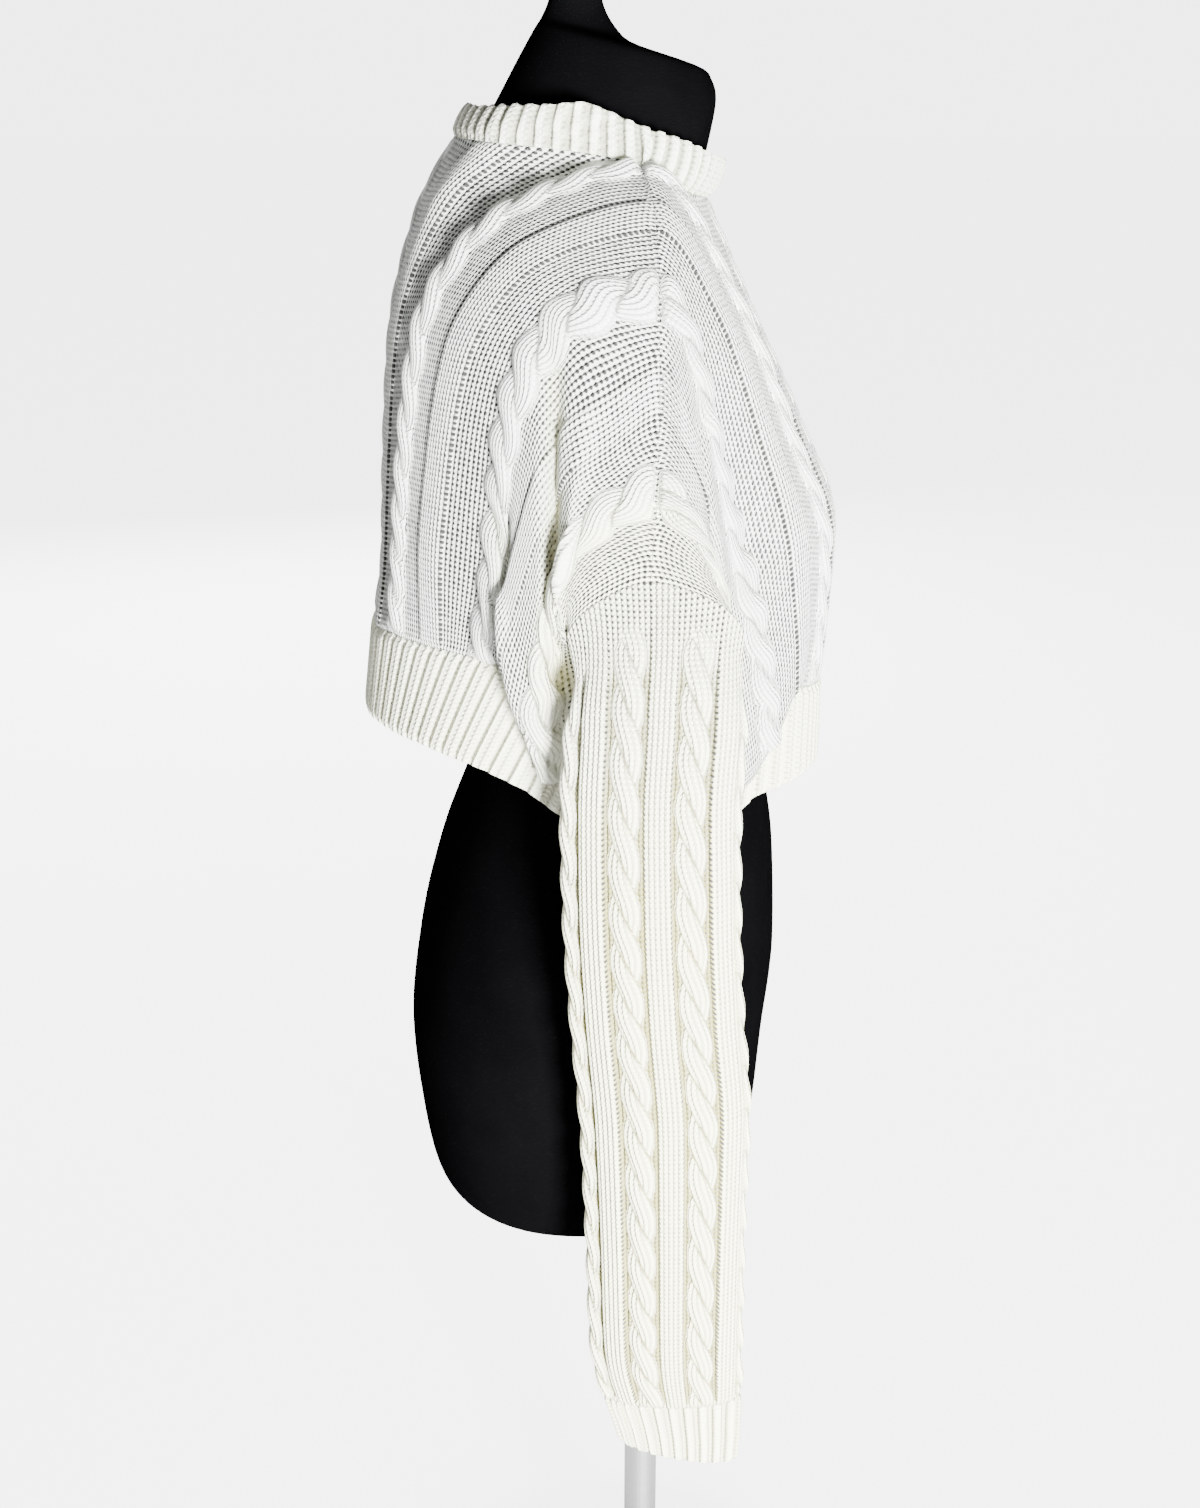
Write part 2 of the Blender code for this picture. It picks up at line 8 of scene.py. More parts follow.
import bpy
import numpy as np
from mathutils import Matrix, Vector


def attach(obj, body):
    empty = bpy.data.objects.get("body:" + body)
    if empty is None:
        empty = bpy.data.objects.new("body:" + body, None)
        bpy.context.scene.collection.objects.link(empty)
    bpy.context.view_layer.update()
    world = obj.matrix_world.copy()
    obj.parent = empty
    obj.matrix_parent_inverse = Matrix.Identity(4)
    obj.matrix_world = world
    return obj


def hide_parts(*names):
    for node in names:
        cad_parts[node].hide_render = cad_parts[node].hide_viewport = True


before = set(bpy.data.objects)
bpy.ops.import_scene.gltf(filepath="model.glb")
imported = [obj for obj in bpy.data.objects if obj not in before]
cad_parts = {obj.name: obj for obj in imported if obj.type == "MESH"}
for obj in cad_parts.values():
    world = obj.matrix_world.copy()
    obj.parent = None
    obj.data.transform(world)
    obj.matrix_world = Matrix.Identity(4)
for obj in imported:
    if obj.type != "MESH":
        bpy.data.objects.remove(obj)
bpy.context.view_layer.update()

# ---- The front and the back ------------------------------
# Two panels of soft cream yarn, knitted flat: rope cables and smooth bands stand up from a purl ground. They
# are linked to each other at the sides and the shoulders, and to the sleeves round the armholes.
MM = 0.001
NECK_LEVEL = 1070.0    # height of the neckband's top edge above the floor
WALL = 2.0             # thickness of the knitted cloth
PANEL_LENGTH = 250.0   # about how long its columns are, from hem to shoulder
PANEL_HALF = 315.0     # half the width of a panel in the tables below

# Each column of stitches, named by its distance from the middle of the panel, passes through seven levels.
LEVELS = ("rib_end", "rib", "low", "chest", "blade", "yoke", "top")
BACK = {
    #     rib_end           rib               low               chest
    #     blade             yoke              top
    0:   ((0, -163, 322),   (0, -157, 273),   (0, -152, 240),   (0, -149, 186),
          (0, -143, 116),   (0, -126, 53),    (0, -105, 16)),
    45:  ((48, -158, 320),  (47, -152, 271),  (47, -147, 238),  (48, -143, 184),
          (50, -136, 112),  (55, -112, 46),   (58, -82, 18)),
    90:  ((80, -146, 318),  (78, -138, 267),  (79, -135, 235),  (81, -130, 178),
          (85, -117, 102),  (92, -76, 50),    (75, -8, 29)),
    135: ((106, -127, 318), (102, -117, 267), (105, -117, 230), (108, -111, 172),
          (115, -98, 112),  (123, -60, 66),   (112, -2, 50)),
    180: ((130, -99, 321),  (122, -89, 268),  (135, -83, 232),  (139, -78, 186),
          (141, -66, 126),  (143, -33, 88),   (138, 0, 84)),
    225: ((143, -70, 330),  (135, -65, 279),  (149, -77, 252),  (154, -66, 204),
          (158, -47, 157),  (157, -24, 141),  (152, 0, 127)),
    270: ((149, -38, 349),  (143, -38, 298),  (157, -58, 283),  (161, -54, 246),
          (164, -40, 198),  (163, -19, 180),  (160, -1, 173)),
    315: ((151, -3, 354),   (146, -3, 304),   (147, -3, 277),   (156, -28, 262),
          (167, -44, 243),  (169, -29, 225),  (166, -4, 216)),
}
FRONT = {
    #     rib_end           rib               low               chest
    #     blade             yoke              top
    0:   ((0, 98, 350),     (0, 98, 306),     (0, 101, 272),    (0, 104, 220),
          (0, 84, 166),     (0, 53, 100),     (0, 29, 47)),
    45:  ((47, 94, 348),    (47, 94, 302),    (47, 97, 270),    (47, 99, 220),
          (48, 79, 164),    (51, 45, 96),     (49, 14, 41)),
    90:  ((79, 86, 344),    (78, 86, 296),    (78, 89, 264),    (78, 90, 220),
          (79, 69, 158),    (86, 36, 86),     (75, -8, 29)),
    135: ((106, 75, 340),   (103, 75, 290),   (105, 78, 258),   (105, 75, 214),
          (106, 56, 152),   (112, 29, 88),    (112, -2, 50)),
    180: ((128, 57, 339),   (122, 57, 290),   (130, 49, 256),   (134, 39, 210),
          (138, 29, 164),   (141, 17, 112),   (138, 0, 84)),
    225: ((141, 38, 349),   (135, 38, 298),   (147, 37, 256),   (153, 32, 212),
          (157, 24, 172),   (157, 12, 143),   (152, 0, 127)),
    270: ((148, 18, 354),   (143, 18, 303),   (149, 30, 276),   (155, 33, 240),
          (162, 25, 205),   (163, 13, 184),   (160, -1, 173)),
    315: ((151, -3, 354),   (146, -3, 304),   (147, -3, 277),   (156, 26, 262),
          (167, 42, 242),   (169, 28, 225),   (166, -4, 216)),
}
NECK_COLUMN = 90       # the column that ends where the neckline meets the shoulder seam

# Soft folds: a line across the panel, a width, and how far it stands out (+) or sinks in (-). A fold is whole
# for FOLD_WHOLE of its length on each side of its middle, and dies away over FOLD_ENDS.
FOLDS = {
    #                    panel    column, share    column, share   bow    width  height
    "back_shoulder":    ("back",  (188, 0.76),     (278, 0.20),    30,    9.5,   -9.5),
    "back_sleeve_head": ("back",  (224, 0.80),     (290, 0.40),    18,    10,    5.0),
    "back_side_bag":    ("back",  (215, 0.30),     (262, 0.06),    0,     15,    5.0),
    "back_side_dip":    ("back",  (182, 0.40),     (226, 0.04),    0,     15,    -5.0),
    "front_shoulder":   ("front", (196, 0.80),     (250, 0.36),    10,    14,    -6.0),
    "front_side_bag":   ("front", (168, 0.34),     (176, 0.04),    0,     18,    4.5),
    "front_side_dip":   ("front", (212, 0.34),     (222, 0.04),    0,     16,    -4.5),
}
FOLD_WHOLE, FOLD_ENDS = 0.32, 0.16
DEEP_FOLD = 10         # a fold that sinks this far is at its deepest painted shade

# Where the cloth sags over the hem rib beside the sleeves: how far a panel's lower edge is moved.
HEM_LAP = {
    #         column  out   forward  down
    "back": ((170,    0,    0,       0),
             (188,    3.4,  0,       0.4),
             (205,    5,    -1,      4),
             (225,    7.5,  -3,      12),
             (250,    8,    -12,     24),
             (270,    8,    -18,     29),
             (290,    7,    -12,     17),
             (315,    6,    -5,      3)),
    "front": ((118,   0,    0,       0),
              (137,   2.4,  3.4,     0.4),
              (155,   4.5,  5,       11),
              (180,   7.5,  4.5,     28),
              (203,   10,   5,       36),
              (225,   11,   5,       37),
              (250,   10.5, 3,       28),
              (282,   8,    -1,      13),
              (315,   6,    -5,      3)),
}
LAP_REACH = 0.22       # the share of a column's height that the sag pulls down
LAP_CURL = 7.0         # over this length the sagging edge turns in towards the rib
CURL_MOST = 4.0        # and this is the furthest that it turns in

# The stitches of a panel, from the middle of one cable to the middle of the next. A cable's and a band's half
# widths are in wales, and a strand's sway and reach are shares of the cable's. Heights and the way from one
# crossing to the next are in millimetres. The rest say how open the stitches are, and how much painted shade
# lies in the purl gutters.
PANEL_KNIT = {
    "wale": 90 / 34, "repeat": 34, "cable": 5.3, "band": 4, "crossing": 24.0, "last_band": 250,
    "ground": -0.8, "cable_rise": 5.4, "band_rise": 1.6, "sway": 0.36, "reach": 0.66,
    "ground_open": 0.80, "band_open": 0.58, "edge_open": 1.05, "gutter_shade": 0.12,
    "middle_rise": 0.45, "purl": 1.0,
}
INNER_EDGE = {"back": 0.3, "front": 0.9}     # how open a band's edge is on the side towards the middle
CABLE_OPEN = 0.08      # how open the stitches on a cable are
COURSE = 2.8           # the height of one course of stitches
SEAM_REACH = 4.0       # raised stitches sink to the plain wall over this length beside a seam
AHEAD, DRIFT, DRIFT_WAVE = 3.2, 1.3, 31      # how far a cable crosses ahead of its neighbour, and drifts
# The dome of a cable's strand, how it rises and sinks, and how narrow the painted shade in the notch beside
# it is and how it fades towards the cable's edge.
STRAND = {"roundness": 0.6, "mean_height": 0.72, "swing": 0.28, "notch_shade": 0.15, "edge": 0.3}
BAND_SOFT, EDGE_WALES, END_SOFT = 0.5, 0.55, 4    # wales that a band's side, its edge and its end fade over
CABLE_SOFT = 0.25      # the share of its height over which a cable's side turns into the ground

# How yellow the yarn looks, and where: a little in the middle of a panel, more at the sides and in the folds.
# The less yellow yarn is also greyer, as painted shade, and at the sides and in the folds the yellow tints
# the painted shade of the creases olive.
PANEL_WARMTH = {"middle": 0.10, "side": 0.45, "fold": 0.60, "side_from": 225, "side_over": 70}
FOLD_SHADE = 0.50     # how much painted shade the deepest fold gets
FOLD_SHUT, SIDE_SHUT = 0.75, 0.65      # how far the stitches close in a fold, and where the cloth bunches
BUNCHED = {"from": 245, "over": 30, "below": 25, "fades": 45}     # low at the side, by column and by height
PANEL_COLUMNS, SEAM_ROWS, ARMHOLE_ROWS = 616, 12, 120
ACROSS = np.linspace(-PANEL_HALF, PANEL_HALF, PANEL_COLUMNS + 1)
FINE = 4               # the lining of a piece is this much coarser than its outer face


def steady(knots, values, at):
    """A smooth curve through values at knots that never swings past them: its slope at a knot is the harmonic
    mean of the slopes on either side, or level where they differ in sign."""
    knots, at = np.asarray(knots, float), np.asarray(at, float)
    shape = np.shape(values)[1:]
    values = np.asarray(values, float).reshape(len(knots), -1)
    step = np.diff(knots)[:, None]
    slope = np.diff(values, axis=0) / step
    before, after = slope[:-1], slope[1:]
    same = before * after > 0
    middle = np.where(same, 2 * before * after / np.where(same, before + after, 1), 0)
    tangent = np.concatenate([slope[:1], middle, slope[-1:]])
    k = np.clip(np.searchsorted(knots, at) - 1, 0, len(step) - 1)
    h = step[k]
    t = np.clip((at - knots[k])[:, None] / h, 0, 1)
    curve = (
        values[k] * (1 + 2 * t) * (1 - t) ** 2 + tangent[k] * h * t * (1 - t) ** 2
        + values[k + 1] * t * t * (3 - 2 * t) + tangent[k + 1] * h * t * t * (t - 1)
    )
    return curve.reshape((len(at),) + shape)


def ease(x):
    """From 0 to 1 as x goes from 0 to 1, level at both ends."""
    x = np.clip(x, 0, 1)
    return x * x * (3 - 2 * x)


def angles(count):
    """Evenly spaced angles all the way round."""
    return np.linspace(0, 2 * np.pi, count, endpoint=False)


def lengths_along(points):
    """The distance of each point from the first, measured along the line through them, for one line of points
    or for each column of a grid."""
    steps = np.linalg.norm(np.diff(points, axis=0), axis=-1)
    return np.concatenate([np.zeros_like(steps[:1]), np.cumsum(steps, axis=0)])


def mirrored(columns, points):
    """A table's columns and their points, with the same again on the wearer's right."""
    return np.concatenate([-columns[:0:-1], columns]), np.concatenate([points[:0:-1] * (-1, 1, 1), points])


def in_frame(points):
    """(out, forward, down) in millimetres as a place in metres."""
    out, forward, down = np.moveaxis(np.asarray(points, float), -1, 0)
    return np.stack([out, -forward, NECK_LEVEL - down], axis=-1) * MM


def column_curves(panel, levels=("rib", "top")):
    """The panel's table columns and, for each, the curve of its stitches between two levels as a function of
    the share of its length. A column outside the neckline runs on over the shoulder into the other panel."""
    first, last = (LEVELS.index(name) for name in levels)
    table, other = (BACK, FRONT) if panel == "back" else (FRONT, BACK)
    curves = []
    for column in sorted(table):
        points = np.array(table[column][first: last + 1], float)
        length = lengths_along(points)
        if column >= NECK_COLUMN and levels[1] == "top":
            beyond = np.array(other[column][::-1][1:], float)
            points = np.concatenate([points, beyond])
        knots = lengths_along(points) / length[-1]
        curves.append(lambda at, knots=knots, points=points: steady(knots, points, at))
    return np.array(sorted(table), float), curves


def outward(grid, ring):
    """Unit normals of a grid, turned away from the middle of the body or of the sleeve."""
    across = np.roll(grid, -1, axis=1) - np.roll(grid, 1, axis=1) if ring else np.gradient(grid, axis=1)
    normal = np.cross(across, np.gradient(grid, axis=0))
    normal /= np.linalg.norm(normal, axis=-1, keepdims=True)
    middle = grid.mean(axis=1, keepdims=True) if ring else grid.mean(axis=(0, 1)) * (0, 0, 1)
    return normal * np.sign(np.sum(normal * (grid - middle)))


def fold_height(panel, column, height):
    """How far the soft folds lift the cloth at each (column, share of its height): a bell across each fold's
    bowed line, exp(-(aside / width)^2), dying away towards its ends."""
    lift = np.zeros_like(column)
    for where, top, bottom, bow, width, amount in FOLDS.values():
        if where != panel:
            continue
        share = (height - bottom[1]) / (top[1] - bottom[1])
        line = bottom[0] + (top[0] - bottom[0]) * share + bow * 4 * share * (1 - share)
        slope = (top[0] - bottom[0] + bow * 4 * (1 - 2 * share)) / (top[1] - bottom[1]) / PANEL_LENGTH
        ends = np.exp(-((np.clip(np.abs(share - 0.5) - FOLD_WHOLE, 0, None) / FOLD_ENDS) ** 2))
        lift += amount * ends * np.exp(-(((column - line) / width) ** 2 / (1 + slope**2)))
    return lift


def hem_lap(panel, column):
    """How far the lower edge of a panel is moved at each column, as (out, forward, down)."""
    table = np.array(HEM_LAP[panel], float)
    shift = steady(table[:, 0], table[:, 1:], np.abs(column))
    shift[:, 0] *= np.sign(column)
    return shift * (np.abs(column) > table[0, 0])[:, None]


class Cloth:
    """One knitted piece: a grid of points on the outer side of its wall (rows along the wales, columns across
    them), the directions out of the cloth, and what its stitches do at each point."""

    def __init__(self, name, node, grid, ring=False):
        self.name, self.node, self.grid, self.ring = name, node, grid, ring
        self.out = outward(grid, ring)
        self.up = lengths_along(grid)
        self.maps = {}

    def edges(self):
        """The grid's edge as loops of (row, column): one closed loop, or the two ends of a ring."""
        rows, columns = self.grid.shape[:2]
        row, column = np.arange(rows), np.arange(columns)
        if self.ring:
            back = np.roll(column[::-1], 1)
            return [(np.zeros(columns, int), column), (np.full(columns, rows - 1), back)]
        loop_rows = [0 * column[:-1], row[:-1], rows - 1 + 0 * column[1:], row[:0:-1]]
        loop_columns = [column[:-1], columns - 1 + 0 * row[:-1], column[:0:-1], 0 * row[1:]]
        return [(np.concatenate(loop_rows), np.concatenate(loop_columns))]

    def mesh(self):
        """The outer face with its stitches raised along the outward directions, a lining WALL below it with
        one point in FINE each way, and a rim of fans between their edges."""
        step = FINE
        lining = self.grid[::step, ::step] - self.out[::step, ::step] * WALL
        outer = self.grid + self.out * self.maps["relief"][..., None]
        rows, columns = outer.shape[:2]
        few_rows, few = lining.shape[:2]
        first = rows * columns
        quads = [quad_faces(rows, columns, self.ring), quad_faces(few_rows, few, self.ring)[:, ::-1] + first]
        fans = []
        for row, column in self.edges():
            fine = row * columns + column
            coarse = first + row[::step] // step * few + column[::step] // step
            fans.append(rim_faces(fine, coarse))
        quads, fans = np.concatenate(quads), np.concatenate(fans)
        across = np.roll(outer, -1, axis=1) - outer if self.ring else np.gradient(outer, axis=1)
        if np.sum(np.cross(across, np.gradient(outer, axis=0)) * self.out) > 0:
            quads, fans = quads[:, ::-1], fans[:, ::-1]
        points = np.concatenate([in_frame(outer).reshape(-1, 3), in_frame(lining).reshape(-1, 3)])
        made = bpy.data.meshes.new(self.name)
        made.from_pydata(points.tolist(), [], quads.tolist() + fans.tolist())
        made.shade_smooth()
        flat = {
            key: np.concatenate([value.ravel(), value[::step, ::step].ravel()])
            for key, value in self.maps.items()
        }
        corners = [wrapped(flat["wale"][f], self.maps.get("full_turn")) for f in (quads, fans)]
        stitches = np.stack([
            np.concatenate([c.ravel() for c in corners]),
            np.concatenate([flat["course"][f].ravel() for f in (quads, fans)]),
        ], axis=-1)
        made.uv_layers.new(name="stitches").data.foreach_set("uv", stitches.ravel())
        for key in ("purl", "open", "crease", "warm"):
            layer = made.attributes.new(key, "FLOAT", "POINT")
            layer.data.foreach_set("value", flat[key].astype(np.float32))
        return made


def quad_faces(rows, columns, ring):
    """Four-sided faces over a grid of numbered points, joined round its columns if it is a ring."""
    row, column = np.mgrid[: rows - 1, : columns if ring else columns - 1]
    here, beside = row * columns + column, row * columns + (column + 1) % columns
    return np.stack([here, beside, beside + columns, here + columns], axis=-1).reshape(-1, 4)


def rim_faces(fine, coarse):
    """Triangles between a fine loop of points and one with a point for every FINE of them: half of each group
    meets its first coarse point and half its second, with one triangle between."""
    fine, coarse = np.append(fine, fine[0]), np.append(coarse, coarse[0])
    start, near, far = np.arange(len(coarse) - 1) * FINE, coarse[:-1], coarse[1:]
    half = FINE // 2
    fans = [
        np.stack([fine[start + k + 1], fine[start + k], near if k < half else far], 1)
        for k in range(FINE)
    ]
    fans.append(np.stack([fine[start + half], near, far], 1))
    return np.concatenate(fans)


def wrapped(wale, full_turn):
    """The wales at each face's corners, carried past the full turn on the faces that close a ring."""
    if full_turn is None:
        return wale
    full = full_turn.ravel()[0]
    return np.where(wale.max(axis=1, keepdims=True) - wale > full / 2, wale + full, wale)


def rope(beside, up, knit):
    """A two-strand cable, by wales beside its middle and millimetres up it. Each strand sways from side to
    side as a cosine of its way up, in front as it crosses one way and behind as it comes back. Gives how far
    the nearer strand stands up, from 0 to 1, the wales from its middle, and the painted shade in the notch."""
    turn = np.pi * up / knit["crossing"]
    strands = []
    for start in (0, np.pi):
        offset = beside - knit["sway"] * knit["cable"] * np.cos(turn + start)
        dome = np.clip(1 - (offset / (knit["reach"] * knit["cable"])) ** 2, 0, 1) ** STRAND["roundness"]
        strands.append((dome * (STRAND["mean_height"] + STRAND["swing"] * np.sin(turn + start)), offset))
    (rise_a, offset_a), (rise_b, offset_b) = strands
    rise = np.maximum(rise_a, rise_b)
    notch_shade = np.exp(-(((rise_a - rise_b) / STRAND["notch_shade"]) ** 2)) * ease(rise / STRAND["edge"])
    return rise, np.where(rise_a > rise_b, offset_a, offset_b), notch_shade


def cabled(piece, knit, wale, hand, fade, warm):
    """Fills in a piece's maps: cables at each repeat, bands half way between, and purl ground between those.
    hand is 1 where wales count to the right as seen from outside. fade is 0 at the seams and 1 away from
    them. Neighbouring cables cross a little higher or lower, as hand-guided knitting settles."""
    repeat = knit["repeat"]
    beside = (wale + repeat / 2) % repeat - repeat / 2
    which = np.round((wale - beside) / repeat)
    settled = piece.up + AHEAD * np.sin(1.7 * which) + DRIFT * np.sin(piece.up / DRIFT_WAVE + 2.1 * which)
    rise, offset, notch_shade = rope(beside * hand, settled, knit)
    band_edge = repeat / 2 - knit["band"]
    on_band = ease((np.abs(beside) - band_edge) / BAND_SOFT + 0.5)
    edge_column = np.exp(-(((np.abs(beside) - band_edge) / EDGE_WALES) ** 2))
    edge_column = edge_column * np.where(beside * wale > 0, knit["inner_edge"], 1.0)
    if "last_band" in knit:
        inside = ease((knit["last_band"] / knit["wale"] - np.abs(wale)) / END_SOFT + 0.5)
        on_band, edge_column = on_band * inside, edge_column * inside
    on_cable = ease(rise * fade / CABLE_SOFT)
    ground = knit["ground"] + knit["band_rise"] * on_band
    stand = knit["cable_rise"] * np.where(which == 0, knit["middle_rise"], 1.0)
    relief = np.maximum(ground, knit["ground"] + stand * rise)
    piece.maps = {
        "relief": relief * fade,
        "warm": np.broadcast_to(warm, wale.shape),
        "wale": np.where(on_cable > 0.5, wale - beside + offset * hand, wale),
        "course": piece.up / COURSE,
        "purl": (1 - on_band) * (1 - on_cable) * knit["purl"],
        "open": knit["ground_open"] * (1 - on_band) * (1 - on_cable) * (1 - edge_column)
        + knit["band_open"] * on_band * (1 - edge_column) + knit["edge_open"] * edge_column * (1 - on_cable)
        + CABLE_OPEN * on_cable,
        # Painted shade in the notch between a cable's strands and in the purl gutters, fading at the seams.
        "crease": np.maximum(notch_shade * on_cable, knit["gutter_shade"] * (1 - on_band) * (1 - on_cable)) * fade,
    }


def panel(name, node, which):
    """A panel's base: rows up its height, columns from the wearer's right to the left."""
    table = BACK if which == "back" else FRONT
    edge = lengths_along(np.array(table[PANEL_HALF][LEVELS.index("rib"):], float))
    underarm = edge[1] / edge[-1]
    heights = np.concatenate([
        np.linspace(0, underarm, SEAM_ROWS + 1)[:-1],
        np.linspace(underarm, 1, ARMHOLE_ROWS + 1),
    ])
    known, curves = column_curves(which)
    along = np.array([curve(heights) for curve in curves])
    grid = steady(*mirrored(known, along), ACROSS).transpose(1, 0, 2)
    sag = np.clip(1 - heights / LAP_REACH, 0, 1) ** 2
    lap = hem_lap(which, ACROSS)
    grid = grid + lap[None] * sag[:, None, None]
    lift = fold_height(which, *np.meshgrid(np.abs(ACROSS), heights))
    curl = np.clip(1 - lengths_along(grid) / LAP_CURL, 0, 1) ** 2
    curled = lift - curl * np.minimum(np.linalg.norm(lap, axis=1), CURL_MOST)[None]
    cloth = Cloth(name, node, grid + outward(grid, False) * curled[..., None])
    cloth.sunk = np.clip(-lift, 0, DEEP_FOLD) / DEEP_FOLD
    return cloth


def seam_fade(piece):
    """0 at a panel's edges, where its seams are, and 1 further in than SEAM_REACH."""
    along = lengths_along(piece.grid.transpose(1, 0, 2)).T
    fade = ease(piece.up / SEAM_REACH) * ease((piece.up[-1] - piece.up) / SEAM_REACH)
    return fade * ease(along / SEAM_REACH) * ease((along[:, -1:] - along) / SEAM_REACH)


def sew(back, front):
    """Brings the two panels' edges to the same points along the side seams and the shoulder seams."""
    shoulder = np.abs(ACROSS) > NECK_COLUMN - 1
    sides = np.ix_(range(SEAM_ROWS + 1), (0, -1))
    for seam in ((-1, shoulder), sides):
        middle = (back.grid[seam] + front.grid[seam]) / 2
        back.grid[seam] = middle
        front.grid[seam] = middle


def panel_stitches(piece, hand, inner_edge):
    """Cables over a panel, counted from its middle. Folds get a warmer yarn and painted shade in their
    depths, and the stitches close in them and where the cloth bunches."""
    column = np.abs(ACROSS)
    wale = np.broadcast_to(ACROSS / PANEL_KNIT["wale"], piece.up.shape)
    warmth = PANEL_WARMTH
    at_side = ease((column - warmth["side_from"]) / warmth["side_over"])
    warm = warmth["middle"] + warmth["side"] * at_side + warmth["fold"] * piece.sunk
    cabled(piece, dict(PANEL_KNIT, inner_edge=inner_edge), wale, hand, seam_fade(piece), warm)
    # Painted shade in the folds, darkest where they sink deepest.
    piece.maps["crease"] = piece.maps["crease"] + FOLD_SHADE * piece.sunk
    low = 1 - ease((piece.up - BUNCHED["below"]) / BUNCHED["fades"])
    bunched = ease((column - BUNCHED["from"]) / BUNCHED["over"]) * low
    piece.maps["open"] = piece.maps["open"] * (1 - FOLD_SHUT * piece.sunk) * (1 - SIDE_SHUT * bunched)


back_panel = panel("back_panel", "back", "back")
front_panel = panel("front_panel", "front", "front")
sew(back_panel, front_panel)
panel_stitches(back_panel, -1, INNER_EDGE["back"])
panel_stitches(front_panel, 1, INNER_EDGE["front"])

# ---- The hem ---------------------------------------------
# A deep two-by-two rib, knitted on below each panel in the same yarn. It grips the body a little, so that the
# cloth above it blouses over its upper edge beside the sleeves.
HEM_ROWS = 36
HEM_RIB = {"period": 11.0, "plump": 0.30, "rise": 2.6, "floor": -0.9, "shade": 0.20, "warmth": 0.60}
HEM_LEAN = {"back": 0.36, "front": -0.12}      # how far a rib leans outwards for each millimetre down
LEAN_BEGINS, LEAN_FADES = (50, 170), (260, 55)     # the columns where it begins and fades, and over how many
HEM_SEAM, RIB_EDGE = 5.0, 3.0      # ribs rise over these lengths from the hem's seam and from a free edge
RIB_EDGE_HEIGHT = 0.35             # and this share of them still stands at the free edge
RIB_SLOPE = 0.95                   # how steep a rib's sides are
RIB_OPEN, GROOVE_OPEN = 0.05, 0.10     # how open the stitches are on a rib, and how much more between two


def to_free_edge(away, height=RIB_EDGE_HEIGHT):
    """1 well inside a ribbed piece, sinking to the height given at its free edge, by the distance from it."""
    return height + (1 - height) * ease(away / RIB_EDGE)


def ribbed(piece, rib, place, fade):
    """Two-by-two rib: two raised knit wales and two sunk purl wales in each period, as a flat-topped cosine
    wave with soft shoulders. place is the distance across the wales in periods. A pair's stitches are drawn
    as one."""
    wave = np.cos(2 * np.pi * place)
    raised = ease(0.5 + RIB_SLOPE * (wave + rib["plump"]))
    piece.maps = {
        "relief": (rib["floor"] + rib["rise"] * raised) * fade,
        "warm": np.full_like(raised, rib["warmth"]),
        "wale": place * 2 + 0.5,
        "course": piece.up / COURSE,
        "purl": 1 - raised,
        "open": GROOVE_OPEN * (1 - raised) + RIB_OPEN,
        # Painted shade in the grooves between the ribs.
        "crease": (1 - raised) * rib["shade"],
    }


def hem(name, node, which):
    """The rib below a panel: the table's columns between its two edges, joined by steady curves."""
    known, curves = column_curves(which, ("rib_end", "rib"))
    along = np.array([curve(np.linspace(0, 1, HEM_ROWS + 1)) for curve in curves])
    piece = Cloth(name, node, steady(*mirrored(known, along), ACROSS).transpose(1, 0, 2))
    reach = lengths_along(piece.grid[HEM_ROWS // 2])
    reach = reach - reach[PANEL_COLUMNS // 2]
    begun, fading = (ease((np.abs(ACROSS) - first) / over) for first, over in (LEAN_BEGINS, LEAN_FADES))
    lean = HEM_LEAN[which] * begun * (1 - fading)
    below = piece.up[-1] - piece.up
    place = (reach + np.sign(ACROSS) * lean * below) / HEM_RIB["period"]
    ribbed(piece, HEM_RIB, place, ease(below / HEM_SEAM) * to_free_edge(piece.up))
    return piece


hem_back, hem_front = hem("hem_back", "hem_rib_back", "back"), hem("hem_front", "hem_rib_front", "front")

# ---- The sleeves -----------------------------------------
# Two tubes knitted with closer cables and bands, set in round the armholes. They hang empty beside the form,
# a little flattened, and each ends in a two-by-two ribbed cuff with a free edge.
SLEEVE_RINGS = {
    #              outer edge        inner edge        back   front
    #              out    down       out    down
    "cap":        (180,   244,       166,   289,       -40,   41),
    "upper":      (192,   276,       168,   303,       -44,   42),
    "bicep":      (201,   324,       168,   332,       -46,   40),
    "above_elbow": (205,  380,       168,   381,       -45,   41),
    "elbow":      (205,   436,       167,   436,       -42,   44),
    "forearm":    (205,   500,       167,   500,       -37,   49),
    "low_arm":    (204,   570,       167,   570,       -34,   48.5),
    "wrist":      (201,   640,       167,   640,       -32,   49),
    "cuff_top":   (194,   679,       169,   679,       -25,   50),
    "cuff_mid":   (191,   700,       170,   700,       -20,   50),
    "cuff_end":   (190,   718,       170,   718,       -16,   49),
}
CUFF_STARTS = "cuff_top"
CUFF_WAVE = 6.5        # the cuff's edge hangs this much lower at the front and higher at the back
SLEEVE_ROWS, CUFF_ROWS = 280, 28
SLEEVE_REPEATS = 6
SLEEVE_KNIT = {
    "repeat": 13, "cable": 3.05, "band": 2.5, "crossing": 25.5, "sway": 0.32, "reach": 0.76,
    "ground": -1.7, "cable_rise": 4.3, "band_rise": 2.9,
    "inner_edge": 1.0, "middle_rise": 1.0,
}
SLEEVE_OPEN = {
    # part          at the top  change further down
    "ground_open":  (0.48,      -0.13),
    "band_open":    (0.42,      -0.12),
    "edge_open":    (0.55,      0),
}
PURL_ENDS, KNIT_STARTS = 12, 36     # after so much plain purl, the cables and bands come up over this length
